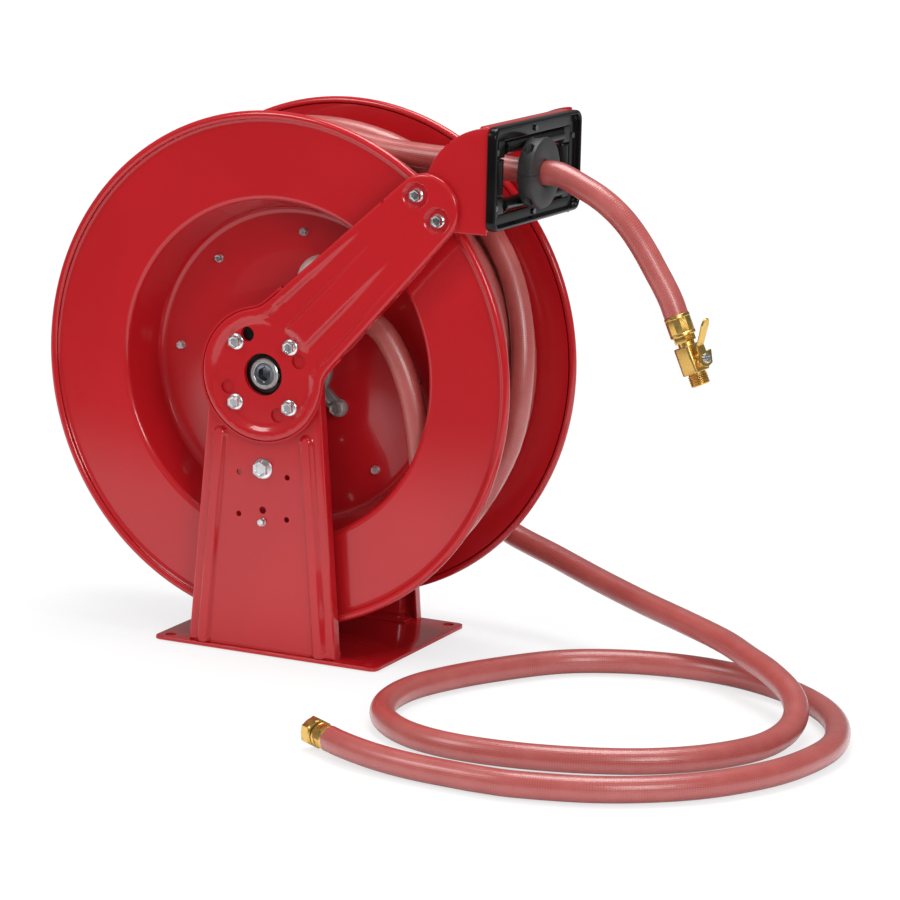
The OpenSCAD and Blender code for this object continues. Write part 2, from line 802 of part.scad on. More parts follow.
// A flat panel inside a deeper lip
module guide_bezel() {
    w = 2 * bezel_half_w;
    h = 2 * guide_half_h - 2;
    color(black) difference() {
        union() {
            guide_slab(bezel_x0, bezel_panel) difference() {
                round_rect(w, h, 12);
                square([184, 79], center = true);
            }
            guide_slab(bezel_x0, bezel_x1) difference() {
                round_rect(w, h, 12);
                round_rect(w - 12, h - 10, 8);
            }
            // Corner blocks that carry the ends of the roller pins
            guide_slab(roller_x - 4.5, bezel_panel) for (sy = [-1, 1], sz = [-1, 1])
                translate([sy * 84.2, sz * 30.4]) square([16.4, 18.8], center = true);
        }
        roller_pin_shapes(pin_r + 0.02);
        for (q = bezel_screw_places)
            translate([200, q[0], q[1]]) rotate([0, 90, 0]) cylinder(r = 1.9, h = 80);
    }
}

module bezel_screws() {
    color(zinc) for (q = bezel_screw_places) translate([bezel_panel, q[0], q[1]])
        rotate([0, 90, 0]) difference() {
            union() {
                cylinder(r = 3.2, h = 2);
                translate([0, 0, -11]) cylinder(r = 1.8, h = 12);
            }
            translate([-3.5, -0.4, 1.2]) cube([7, 0.8, 2]);
        }
}

module roller_pin_shapes(r) {
    for (s = [-1, 1]) {
        translate([roller_x, -roller_gap_y - 12, guide_z + s * roller_dz])
            rotate([-90, 0, 0]) cylinder(r = r, h = 2 * roller_gap_y + 24);
        translate([roller_x - 1.5, s * roller_dy, guide_z - 26]) cylinder(r = r, h = 52);
    }
}

module roller_pins() {
    color(zinc) roller_pin_shapes(pin_r);
}

// A guide roller with a rounded rim at each end, standing along z
module roller(length) {
    difference() {
        rotate_extrude() polygon(concat([[0, 0]], arc(roller_r - 1.5, 1.5, 1.5, 270, 360, 4),
            arc(roller_r - 1.5, length - 1.5, 1.5, 0, 90, 4), [[0, length]]));
        translate([0, 0, -1]) cylinder(r = pin_r + run_fit, h = length + 2);
    }
}

module top_roller() {
    color(black) translate([roller_x, -roller_gap_y, guide_z + roller_dz])
        rotate([-90, 0, 0]) roller(2 * roller_gap_y);
}

module bottom_roller() {
    color(black) translate([roller_x, -roller_gap_y, guide_z - roller_dz])
        rotate([-90, 0, 0]) roller(2 * roller_gap_y);
}

module front_side_roller() {
    color(black) translate([roller_x - 1.5, -roller_dy, guide_z - roller_gap_z])
        roller(2 * roller_gap_z);
}

module rear_side_roller() {
    color(black) translate([roller_x - 1.5, roller_dy, guide_z - roller_gap_z])
        roller(2 * roller_gap_z);
}

// ---- Hose stop ----

module stop_half() {
    intersection() {
        translate([stop_x0, hose_y, hose_z]) rotate([0, 90, 0]) difference() {
            rotate_extrude() {
                h = stop_x1 - stop_x0;
                polygon(concat([[hose_r + 0.3, 0]], arc(stop_d / 2 - 2, 2, 2, 270, 360, 4),
                    arc(stop_d / 2 - 2, h - 2, 2, 0, 90, 4), [[hose_r + 0.3, h]]));
            }
        }
        translate([stop_x0 - 1, hose_y - 60, hose_z + 0.2]) cube([40, 120, 60]);
    }
}

module stop_screw_cut(r) {
    for (s = [-1, 1]) translate([(stop_x0 + stop_x1) / 2, hose_y + s * 26, 0])
        translate([0, 0, hose_z - 60]) cylinder(r = r, h = 120);
}

module stop_upper() {
    color(black) difference() {
        stop_half();
        stop_screw_cut(2.7);
        for (s = [-1, 1]) translate([(stop_x0 + stop_x1) / 2, hose_y + s * 26, hose_z + 14])
            cylinder(r = 5.6, h = 60);
    }
}

module stop_lower() {
    color(black) translate([0, 0, 2 * hose_z]) mirror([0, 0, 1]) difference() {
        stop_half();
        stop_screw_cut(2.7);
        for (s = [-1, 1]) translate([(stop_x0 + stop_x1) / 2, hose_y + s * 26, hose_z + 14])
            cylinder(r = 5.6, h = 60);
    }
}

module stop_screws() {
    color(zinc) for (s = [-1, 1])
        translate([(stop_x0 + stop_x1) / 2, hose_y + s * 26, hose_z]) {
            translate([0, 0, -19]) cylinder(r = 2.5, h = 33);
            translate([0, 0, 14]) difference() {
                cylinder(r = 4.6, h = 5);
                translate([0, 0, 2]) cylinder(r = 2.3, h = 4, $fn = 6);
            }
            translate([0, 0, -18]) difference() {
                cylinder(r = 4.8, h = 4, $fn = 6);
                translate([0, 0, -1]) cylinder(r = 2.5, h = 6);
            }
        }
}

// ---- Outlet ----

module outlet_hose() {
    color(rose) hose(outlet_route, hose_r, 10, [0, 1, 0]);
}

// Places the children on the outlet's line: z runs away from the hose
module outlet_line() {
    translate(outlet_end) rotate([0, outlet_tilt, 0]) children();
}

module outlet_ferrule() {
    color(brass) outlet_line() {
        cylinder(r1 = 13.4, r2 = 14, h = 2);
        translate([0, 0, 2]) cylinder(r = 14, h = 21.5);
        translate([0, 0, 23.5]) cylinder(r = 12.6, h = 7, $fn = 6);
    }
}

valve_z = 54;
valve_turn = 20;

module valve_body() {
    color(brass) outlet_line() difference() {
        union() {
            translate([0, 0, 30.5]) cylinder(r = 8.8, h = 5);
            translate([0, 0, 34.5]) rotate(valve_turn - 90) linear_extrude(height = 31.5)
                round_rect(23.5, 23.5, 3.5);
            translate([0, 0, 64]) cylinder(r = 9.6, h = 4);
            for (k = [0:5]) translate([0, 0, 67 + 2.1 * k]) {
                cylinder(r1 = 9.9, r2 = 10.9, h = 1.05);
                translate([0, 0, 1.05]) cylinder(r1 = 10.9, r2 = 9.9, h = 1.05);
            }
            translate([0, 0, valve_z]) rotate([0, 0, valve_turn - 90]) rotate([90, 0, 0])
                cylinder(r = 7.5, h = 16.5);
        }
        translate([0, 0, 43]) cylinder(r = 6.5, h = 60);
        translate([0, 0, valve_z]) sphere(r = 10.3);
        translate([0, 0, valve_z]) rotate([0, 0, valve_turn - 90]) rotate([90, 0, 0])
            cylinder(r = 4 + run_fit, h = 40);
    }
}

// Places the children on the valve's stem: z runs out along the stem
module stem_line() {
    outlet_line() translate([0, 0, valve_z]) rotate([0, 0, valve_turn - 90])
        rotate([90, 0, 0]) children();
}

module valve_ball() {
    color(zinc) stem_line() difference() {
        union() {
            sphere(r = 10);
            cylinder(r = 4, h = 20);
        }
        rotate([90, 0, 0]) cylinder(r = 6.5, h = 40, center = true);
        translate([0, 0, 12]) cylinder(r = 1.6, h = 20);
    }
}

module valve_lever() {
    color(brass) stem_line() {
        translate([0, 0, 16.8]) linear_extrude(height = 3) difference() {
            union() {
                circle(r = 9);
                polygon([[-5.5, 0], [-5, -17], [5, -17], [5.5, 0]]);
                polygon([[0, 8], [-9, 6], [-13.5, -8], [-4, -8]]);
            }
            circle(r = 4);
        }
        translate([0, -16, 16.8]) rotate([-42, 0, 0]) translate([-5, -28, 0]) {
            cube([10, 28, 3]);
            translate([5, 0, 0]) cylinder(r = 5.5, h = 3);
        }
    }
}

module lever_screw() {
    color(zinc) stem_line() difference() {
        union() {
            translate([0, 0, 20]) cylinder(r = 5.5, h = 3);
            translate([0, 0, 12]) cylinder(r = 1.6, h = 9);
        }
        for (a = [0, 90]) rotate(a) translate([-3.5, -0.6, 21.6]) cube([7, 1.2, 2]);
    }
}

// ---- Inlet ----

// Places the children on the swivel's branch: z runs out along the branch
module branch_line() {
    translate([0, swivel_y, axle_z]) rotate([0, swivel_tilt, 0]) children();
}

module inlet_swivel() {
    color(brass) difference() {
        union() {
            rod(0, axle_z, 23, 126, 172);
            rod(0, axle_z, 19, 172, 176);
            branch_line() {
                cylinder(r = 17, h = 48);
                translate([0, 0, 42]) cylinder(r = 20, h = 10, $fn = 6);
            }
        }
        rod(0, axle_z, 15 + run_fit, 100, 151);
        rod(0, axle_z, 9, 150, 166);
        branch_line() cylinder(r = 9, h = 60);
    }
}

module inlet_start_ferrule() {
    color(brass) branch_line() translate([0, 0, 52]) difference() {
        union() {
            cylinder(r = 15.6, h = 40);
            translate([0, 0, 40]) cylinder(r1 = 15.6, r2 = 14.4, h = 3);
        }
        translate([0, 0, -1]) cylinder(r = 9, h = 30);
    }
}

module inlet_hose() {
    color(rose) hose(inlet_route, hose_r, 10);
}

// Places the children on the inlet's line: z runs away from the hose
module inlet_line() {
    translate(inlet_end) rotate([0, 0, inlet_turn]) rotate([0, 90, 0]) children();
}

module inlet_ferrule() {
    color(brass) inlet_line() difference() {
        union() {
            cylinder(r1 = 12.6, r2 = 13.2, h = 2);
            translate([0, 0, 2]) cylinder(r = 13.2, h = 18);
            translate([0, 0, 20]) cylinder(r = 9, h = 7.2);
            translate([0, 0, 24.2]) cylinder(r = 11.4, h = 3);
        }
        translate([0, 0, 8]) cylinder(r = 6.5, h = 40);
    }
}

module coupling_nut() {
    color(brass) inlet_line() difference() {
        union() {
            translate([0, 0, 21.5]) cylinder(r = 14, h = 15);
            translate([0, 0, 24]) cylinder(r = 16.2, h = 13, $fn = 6);
        }
        translate([0, 0, 20]) cylinder(r = 9 + run_fit, h = 40);
        translate([0, 0, 23.8]) cylinder(r = 12, h = 40);
    }
}

module coupling_washer() {
    color([0.15, 0.15, 0.15]) inlet_line() translate([0, 0, 27.2]) difference() {
        cylinder(r = 11.5, h = 2.4);
        translate([0, 0, -1]) cylinder(r = 6.5, h = 5);
    }
}

base_plate();
front_post();
rear_post();
front_arm();
rear_arm();
arm_hub_screws();
arm_tip_screws();
front_bearing();
rear_bearing();
front_disc();
rear_disc();
drum_band();
disc_screws();
hub_casting();
hub_bolts();
shaft();
shaft_plug();
retaining_rings();
ratchet_wheel();
latch_pawl();
pawl_bolt();
pawl_spacer();
latch_spring();
spring_hook_screw();
spring_case();
spring_cover();
cover_screws();
power_spring();
spring_arbor();
riser_elbow();
riser_ferrule();
hose_lead();
hose_core();
hose_winding();
hose_run();
guide_housing();
guide_bezel();
bezel_screws();
top_roller();
bottom_roller();
front_side_roller();
rear_side_roller();
roller_pins();
stop_upper();
stop_lower();
stop_screws();
outlet_hose();
outlet_ferrule();
valve_body();
valve_ball();
valve_lever();
lever_screw();
inlet_swivel();
inlet_start_ferrule();
inlet_hose();
inlet_ferrule();
coupling_nut();
coupling_washer();
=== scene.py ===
"""Dresses the spring-rewind hose reel: pressed steel, wound hose, brass and a pale stage."""

import math

import bmesh
import bpy
import numpy as np
from bpy.props import FloatProperty, FloatVectorProperty, PointerProperty
from mathutils import Matrix, Vector
from mathutils.geometry import delaunay_2d_cdt


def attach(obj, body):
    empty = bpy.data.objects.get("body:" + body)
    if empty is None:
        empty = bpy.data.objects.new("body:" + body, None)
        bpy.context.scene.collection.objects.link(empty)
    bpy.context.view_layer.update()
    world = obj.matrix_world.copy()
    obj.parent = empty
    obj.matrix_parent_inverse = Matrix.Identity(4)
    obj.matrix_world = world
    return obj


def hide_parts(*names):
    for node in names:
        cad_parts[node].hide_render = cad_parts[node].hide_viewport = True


bl_info = {
    "name": "Hose Reel",
    "version": (1, 0, 0),
    "blender": (4, 5, 0),
    "location": "View3D > Sidebar > Hose Reel",
    "description": "Builds the looks of a spring-rewind hose reel around its solid model",
    "category": "Object",
}

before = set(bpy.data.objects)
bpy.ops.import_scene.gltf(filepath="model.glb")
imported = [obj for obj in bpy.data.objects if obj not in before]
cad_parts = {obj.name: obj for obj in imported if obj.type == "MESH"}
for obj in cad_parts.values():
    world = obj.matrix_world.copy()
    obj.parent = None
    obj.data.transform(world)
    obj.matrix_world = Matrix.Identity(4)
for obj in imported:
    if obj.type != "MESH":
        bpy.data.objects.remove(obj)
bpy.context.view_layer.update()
MM = 0.001
TAU = 2 * math.pi


# ---------------------------------------------------------------- settings

def length_setting(name, value, words):
    return FloatProperty(name=name, unit="LENGTH", default=value, description=words)


def colour_setting(name, value, words):
    return FloatVectorProperty(name=name, subtype="COLOR", size=3, min=0, max=1,
                               default=value, description=words)


class HoseReelSizes(bpy.types.PropertyGroup):
    axle_height: length_setting("Axle height", 0.320, "Height of the axle above the floor")
    disc_radius: length_setting("Disc radius", 0.290, "Radius of a disc with its rolled rim")
    disc_offset: length_setting("Disc offset", 0.086,
                                "From the middle of the drum to a disc's outer face")
    well_radius: length_setting("Well radius", 0.190, "Radius of the lip of a disc's well")
    well_depth: length_setting("Well depth", 0.054, "Depth of a disc's well")
    arm_angle: FloatProperty(name="Arm angle", subtype="ANGLE", default=math.radians(45.5),
                             description="Slope of the guide arms")
    arm_length: length_setting("Arm length", 0.280,
                               "From the axle to the middle of an arm's tip")
    hose_diameter: length_setting("Hose diameter", 0.027, "Outer diameter of the hose")
    winding_radius: length_setting("Winding radius", 0.262,
                                   "Radius of the middle line of the outer turns")
    stop_diameter: length_setting("Stop diameter", 0.078, "Diameter of the hose stop")


class HoseReelColours(bpy.types.PropertyGroup):
    paint: colour_setting("Paint", (0.43, 0.0085, 0.0125), "Powder coat of the pressed steel")
    hose: colour_setting("Hose", (0.40, 0.062, 0.054), "Cover of the hose")
    brass: colour_setting("Brass", (0.80, 0.52, 0.15), "Fittings and ferrules")
    zinc: colour_setting("Zinc", (0.84, 0.85, 0.86), "Plated screws and latch parts")
    plastic: colour_setting("Plastic", (0.0045, 0.004, 0.0042), "Guide frame and rollers")
    rubber: colour_setting("Rubber", (0.020, 0.019, 0.020), "Hose stop")


def sizes():
    """The object's sizes in millimetres, and its arm angle in radians."""
    s = bpy.context.scene.hose_reel_sizes
    return {"axle": s.axle_height / MM, "disc_r": s.disc_radius / MM,
            "disc_y": s.disc_offset / MM, "well_r": s.well_radius / MM,
            "well": s.well_depth / MM, "arm_a": s.arm_angle, "arm": s.arm_length / MM,
            "hose_r": s.hose_diameter / MM / 2, "wind_r": s.winding_radius / MM,
            "stop_r": s.stop_diameter / MM / 2}


# The camera: its angles in degrees, its place along its own axes in millimetres, its
# focal length and width in pixels, and its sensor in millimetres
CAMERA_TURN, CAMERA_RISE, CAMERA_ROLL = 25.75, 11.98, 1.32
CAMERA_BACK, CAMERA_RIGHT, CAMERA_UP = 4065.3, 160.07, 213.45
FOCAL_PIXELS, WIDTH_PIXELS, SENSOR = 3527.0, 900, 36.0

# Fixed places of the solid model in millimetres
POST_Y, ARM_Y, SHAFT_Y = 109, 112, 110      # outer faces, from the middle of the drum
WELL_Y = -60                                # plane of the riser in the front well
HUB_SCREWS = [(x, z) for x in (-34, 34) for z in (-34, 34)]
TIP_SCREWS = (-18.3, 18.3)                  # across the arm, 3 mm beyond its length
BEARING_R, SCREW_HOLE_R = 23.7, 4.3
SPARE_R, SPARE_HOLE_R, SPARE_ANGLES = 48, 8.3, (23, 115, 202, 293)
HUB_ARM_R, HUB_ARM_ANGLE = 71, -39          # bolts of the drum's hub
LATCH_Z, HOOK_Z = 213, 152                  # bolt of the pawl, screw of its spring
GUIDE_Z = 557
OUTLET_END, OUTLET_TILT = (451, -18, 416.2), 156.5
INLET_END, INLET_TURN = (251, -414, 16.5), 150
BRANCH_TILT = 150
VALVE_TURN = 20

# Routes in metres, as the solid model has them
OUTLET_ROUTE = [(.294, -.018, .557), (.307, -.018, .557), (.321, -.018, .5525),
                (.339, -.018, .5445), (.357, -.018, .5355), (.3735, -.018, .5245),
                (.3895, -.018, .5105), (.403, -.018, .495), (.415, -.018, .4785),
                (.426, -.018, .4615), (.436, -.018, .446), (.4446, -.018, .4309),
                (.451, -.018, .4162)]
INLET_ROUTE = [(.0475, .15, .2377), (.0565, .15, .2221), (.078, .15, .187), (.122, .149, .146),
               (.188, .141, .114), (.256, .122, .097), (.322, .098, .0825), (.386, .074, .0705),
               (.448, .048, .062), (.507, .02, .054), (.548, -.012, .049), (.584, -.04, .044),
               (.62, -.075, .0355), (.64, -.11, .0255), (.646, -.155, .017),
               (.637, -.208, .0135), (.606, -.266, .0135), (.56, -.31, .0135),
               (.5, -.341, .0135), (.43, -.36, .0135), (.36, -.363, .0135), (.302, -.346, .0135),
               (.257, -.308, .0135), (.233, -.256, .0135), (.23, -.196, .0135),
               (.248, -.136, .0135), (.282, -.072, .0135), (.327, -.012, .0135),
               (.384, .023, .0135), (.448, .039, .0135), (.512, .036, .0135), (.57, .015, .0135),
               (.618, -.017, .0135), (.657, -.057, .0135), (.685, -.106, .0135),
               (.701, -.164, .0135), (.699, -.222, .0135), (.682, -.285, .0135),
               (.645, -.348, .0135), (.6, -.393, .0135), (.544, -.427, .0135),
               (.476, -.448, .0135), (.437, -.4515, .0135), (.403, -.4505, .0135),
               (.368, -.448, .0135), (.34, -.4445, .014), (.315, -.4395, .0147),
               (.291, -.4325, .0156), (.2666, -.423, .0165), (.251, -.414, .0165)]


# ---------------------------------------------------------------- shader maths

def feed(place, item):
    """Gives a node's input a shader number, a socket or a plain value."""
    if isinstance(item, Value):
        item = item.socket
    if isinstance(item, bpy.types.NodeSocket):
        place.id_data.links.new(item, place)
    else:
        place.default_value = item


def add_node(nodes, kind, settings=None, **sockets):
    """Adds a node: its settings are set first, then its sockets get values or links."""
    node = nodes.new(kind)
    for name, value in (settings or {}).items():
        setattr(node, name, value)
    for name, item in sockets.items():
        feed(node.inputs[name.replace("_", " ")], item)
    return node


def blended(surface, factor, other):
    """Mixes another shader into a surface, and returns the socket of the result."""
    blend = add_node(surface.id_data.nodes, "ShaderNodeMixShader")
    for place, item in zip(blend.inputs, (factor, surface, other)):
        feed(place, item)
    return blend.outputs[0]


class Value:
    """A shader number; sums, products and functions of it add their nodes."""

    def __init__(self, socket):
        self.socket, self.nodes = socket, socket.id_data.nodes

    def math(self, operation, *others):
        node = add_node(self.nodes, "ShaderNodeMath", {"operation": operation})
        for place, item in zip(node.inputs, (self, *others)):
            feed(place, item)
        return Value(node.outputs[0])

    def __add__(self, other):
        return self.math("ADD", other)

    __radd__ = __add__

    def __mul__(self, other):
        return self.math("MULTIPLY", other)

    __rmul__ = __mul__

    def __sub__(self, other):
        return self.math("SUBTRACT", other)

    def __rsub__(self, other):
        return self * -1 + other

    def __pow__(self, other):
        return self.math("POWER", other)

    def sine(self):
        return self.math("SINE")

    def between(self, low, high):
        """0 below low, 1 above high, and smooth from one to the other."""
        node = add_node(self.nodes, "ShaderNodeMapRange", {"interpolation_type": "SMOOTHSTEP"},
                        Value=self, From_Min=low, From_Max=high)
        return Value(node.outputs["Result"])


class Finish:
    """A material with one glossy shader, and short names for the nodes it is made from."""

    def __init__(self, name, metallic=0.0, roughness=0.5, **constant):
        self.material = bpy.data.materials.new(name)
        self.material.use_nodes = True
        self.tree = self.material.node_tree
        self.shader = self.tree.nodes["Principled BSDF"]
        constant.update(Metallic=metallic, Roughness=roughness)
        for socket, value in constant.items():
            self.shader.inputs[socket.replace("_", " ")].default_value = value
        place = self.node("ShaderNodeTexCoord")
        self.place, self.uv = place.outputs["Object"], place.outputs["UV"]

    def node(self, kind, settings=None, **sockets):
        return add_node(self.tree.nodes, kind, settings, **sockets)

    def noise(self, scale, detail=3.0, roughness=0.5):
        node = self.node("ShaderNodeTexNoise", Vector=self.place, Scale=scale, Detail=detail,
                         Roughness=roughness)
        return Value(node.outputs["Fac"])

    def cells(self, scale):
        node = self.node("ShaderNodeTexVoronoi", Vector=self.place, Scale=scale)
        return Value(node.outputs["Distance"])

    def parts(self, vector):
        return [Value(k) for k in self.node("ShaderNodeSeparateXYZ", Vector=vector).outputs]

    def mix(self, factor, first, second):
        node = self.node("ShaderNodeMix", {"data_type": "RGBA"})
        feed(node.inputs[0], factor)
        for place, item in zip(node.inputs[6:8], (first, second)):
            feed(place, (*item[:3], 1) if hasattr(item, "__len__") else item)
        return node.outputs[2]

    def surface(self, colour, rough, height, strength, distance):
        """Gives the shader its colour, roughness and bump, and returns the material."""
        bump = self.node("ShaderNodeBump", Height=height, Strength=strength, Distance=distance)
        for name, item in (("Base Color", colour), ("Roughness", rough),
                           ("Normal", bump.outputs["Normal"])):
            feed(self.shader.inputs[name], item)
        return self.material


def shade(colour, k):
    return tuple(min(1.0, c * k) for c in colour)


def toward(colour, other, k):
    return tuple(a + (b - a) * k for a, b in zip(colour, other))


def make_paint(c):
    f = Finish("red_powder_coat", roughness=0.2, Coat_Weight=0.6, Coat_Roughness=0.035,
               Specular_IOR_Level=0.3)
    drift = f.noise(5.0, 2.0).between(0.35, 0.65)
    dust = f.noise(160.0, 4.0, 0.65).between(0.62, 0.82)
    return f.surface(
        f.mix(dust * 0.05, f.mix(drift, shade(c.paint, 0.96), shade(c.paint, 1.05)),
              toward(c.paint, (0.75, 0.35, 0.33), 0.3)),
        f.noise(40.0, 3.0) * 0.06 + 0.17,
        f.noise(420.0, 2.0) + f.noise(60.0, 1.0) * 1.2, 0.05, 0.0005)


def make_hose(c):
    """A woven cover: two sets of threads that cross, worn paler in places."""
    f = Finish("hose_cover", roughness=0.35, Specular_IOR_Level=0.5, Coat_Weight=0.85,
               Coat_Roughness=0.27)
    threads, pitch = 22, 0.0052
    around, along, _ = f.parts(f.uv)
    slant = around * (TAU * threads)
    one = (along * (TAU / pitch) + slant).sine()
    two = (along * (TAU / pitch) - slant).sine()
    cloth = (one * two) * 0.5 + 0.5
    worn = f.noise(26.0, 4.0, 0.6).between(0.40, 0.72)
    pale = toward(c.hose, (0.78, 0.34, 0.30), 0.14)
    return f.surface(
        f.mix(cloth * 0.36, f.mix(worn * 0.5, shade(c.hose, 0.88), pale),
              toward(c.hose, (0.86, 0.42, 0.38), 0.18)),
        worn * 0.08 + cloth * 0.08 + 0.26,
        cloth + f.noise(300.0, 2.0) * 0.3, 0.40, 0.0004)


def make_metal(name, colour, low, high, grain, worn=None):
    f = Finish(name, metallic=1.0, roughness=low)
    cloud = f.noise(grain, 4.0, 0.6).between(0.3, 0.7)
    fine = f.noise(grain * 9, 3.0, 0.7)
    tint = f.mix(cloud, shade(colour, 0.86), shade(colour, 1.10))
    if worn:
        tint = f.mix(f.noise(grain * 0.5, 5.0, 0.65).between(0.52, 0.72) * 0.7, tint, worn)
    return f.surface(tint, cloud * (high - low) * 0.6 + fine * (high - low) * 0.4 + low,
                     fine, 0.08, 0.0004)


def make_turned(name, colour, low, high):
    """Bright metal with the fine rings that a lathe leaves round the drum's axle."""
    f = Finish(name, metallic=1.0, roughness=low)
    pitch = 0.0009
    x, _, z = f.parts(f.place)
    rise = z - bpy.context.scene.hose_reel_sizes.axle_height
    radius = (x * x + rise * rise) ** 0.5
    rings = (radius * (TAU / pitch)).sine() * 0.5 + 0.5
    cloud = f.noise(60.0, 3.0)
    return f.surface(
        f.mix(rings * 0.25 + cloud * 0.3, shade(colour, 0.82), shade(colour, 1.10)),
        rings * 0.06 + cloud * (high - low) + low, rings, 0.12, 0.0002)


def make_plastic(c):
    f = Finish("black_moulding", roughness=0.3, Specular_IOR_Level=0.24)
    grain = f.cells(900.0)
    cloud = f.noise(18.0, 3.0)
    return f.surface(f.mix(cloud.between(0.35, 0.75), c.plastic, shade(c.plastic, 1.6)),
                     cloud * 0.10 + 0.15, grain, 0.08, 0.0003)


def make_rubber(c):
    f = Finish("stop_rubber", roughness=0.55)
    cloud = f.noise(30.0, 4.0, 0.6)
    dust = f.noise(240.0, 3.0, 0.7).between(0.5, 0.8)
    return f.surface(f.mix(dust * 0.35 + cloud * 0.25, c.rubber, (0.055, 0.053, 0.055)),
                     cloud * 0.15 + 0.42, f.noise(700.0, 2.0) + cloud, 0.12, 0.0004)


def make_cast(name, colour, low=0.42, high=0.62):
    f = Finish(name, metallic=0.85, roughness=low)
    pits = f.cells(480.0).between(0.1, 0.6)
    cloud = f.noise(22.0, 5.0, 0.6)
    return f.surface(
        f.mix(cloud.between(0.3, 0.7), shade(colour, 0.78), shade(colour, 1.12)),
        pits * 0.10 + cloud * (high - low) + low,
        f.noise(330.0, 4.0, 0.7) + pits * 0.5, 0.28, 0.0006)


FINISHES = {}


def make_finishes():
    c = bpy.context.scene.hose_reel_colours
    FINISHES.update(
        paint=make_paint(c), hose=make_hose(c), plastic=make_plastic(c), rubber=make_rubber(c),
        brass=make_metal("brass", c.brass, 0.20, 0.42, 55.0, worn=(0.50, 0.31, 0.12)),
        zinc=make_metal("zinc_plate", c.zinc, 0.20, 0.36, 80.0),
        spring=make_metal("spring_steel", (0.24, 0.25, 0.28), 0.25, 0.45, 60.0),
        # Black steel: the snap rings' own blackened finish, and painted shade on the grey
        # bearings to darken the gap round the shaft
        dark=make_metal("blackened_steel_and_painted_shade", (0.030, 0.028, 0.028), 0.30, 0.50, 60.0),
        steel=make_turned("turned_steel", (0.74, 0.73, 0.71), 0.20, 0.36),
        cast=make_cast("cast_alloy", (0.42, 0.40, 0.39)),
        dull=make_cast("dull_zinc", (0.40, 0.38, 0.37)),
        pale_cast=make_cast("elbow_alloy", (0.74, 0.72, 0.66), 0.35, 0.5))


# ---------------------------------------------------------------- places and outlines

HERE = Matrix.Identity(4)
MIRROR_Y = Matrix.Scale(-1, 4, (0, 1, 0))
SIDES = (("front", HERE), ("rear", MIRROR_Y))


def smooth(low, high, x):
    """0 at low, 1 at high, and smooth from one to the other."""
    t = min(1.0, max(0.0, (x - low) / (high - low)))
    return t * t * (3 - 2 * t)


def shift(x=0, y=0, z=0):
    return Matrix.Translation((x, y, z))


def axes(x, y, z, origin):
    """A frame from its three directions and its place."""
    m = Matrix((x, y, z)).transposed().to_4x4()
    m.translation = origin
    return m


def turned(origin, *steps):
    """A frame at a point, turned step by step as (degrees, axis)."""
    m = Matrix.Translation(origin)
    for degrees, axis in steps:
        m = m @ Matrix.Rotation(math.radians(degrees), 4, axis)
    return m


def axle_frame(x, y, z, side=-1):
    """A frame whose Z runs out along the axle, to the front (-1) or to the rear (1)."""
    return turned((x, y, z), (-90 * side, "X"))


def front_plane(y, z=0.0, turn=0.0):
    """A frame for a sheet across the axle, its outside to the front."""
    return shift(0, y, z) @ Matrix.Rotation(-turn, 4, "Y") @ axes(
        (1, 0, 0), (0, 0, 1), (0, -1, 0), (0, 0, 0))


def ring(x, y, r, count=24, start=0.0):
    return [(x + r * math.cos(start + TAU * k / count), y + r * math.sin(start + TAU * k / count))
            for k in range(count)]


def arc(x, y, r, start, end, count):
    """Points on a circle from one angle to another, in degrees."""
    angles = [math.radians(start + (end - start) * k / count) for k in range(count + 1)]
    return [(x + r * math.cos(a), y + r * math.sin(a)) for a in angles]


def hexagon_and_circle(r, start=0.0):
    """A hexagon with divided sides, and as many points on a circle of radius 1."""
    hexagon = evenly(ring(0, 0, r, 6, start), r / 6 + 0.01)
    return hexagon, ring(0, 0, 1, len(hexagon), math.atan2(hexagon[0][1], hexagon[0][0]))


def level(points, size, z):
    """Flat points, scaled and set at a height."""
    return [(x * size, y * size, z) for x, y in points]


def travelled(path):
    """The way gone at each point of a path."""
    return np.concatenate([[0], np.cumsum(np.linalg.norm(np.diff(path, axis=0), axis=1))])


def smooth_path(points, step):
    """A smooth curve through points, sampled evenly, and its length."""
    p = np.array(points, float)
    p = np.vstack([2 * p[0] - p[1], p, 2 * p[-1] - p[-2]])
    dense = []
    for i in range(1, len(p) - 2):
        a, b, c, d = p[i - 1:i + 3]
        for t in np.linspace(0, 1, 24, endpoint=False):
            dense.append(0.5 * (2 * b + (c - a) * t + (2 * a - 5 * b + 4 * c - d) * t ** 2
                                + (3 * b - a - 3 * c + d) * t ** 3))
    dense = np.array(dense + [p[-2]])
    gone = travelled(dense)
    even = np.linspace(0, gone[-1], max(2, int(round(gone[-1] / step))) + 1)
    return np.stack([np.interp(even, gone, dense[:, k]) for k in range(3)], 1), gone[-1]


def evenly(points, step):
    """A closed outline with long sides divided, so that no step is longer than given."""
    out = []
    for a, b in zip(points, points[1:] + points[:1]):
        a, b = np.array(a), np.array(b)
        reach = np.linalg.norm(b - a)
        k = max(1, math.ceil(reach / step))
        if reach > 1e-6:
            out += [tuple(a + (b - a) * t / k) for t in range(k)]
    return out


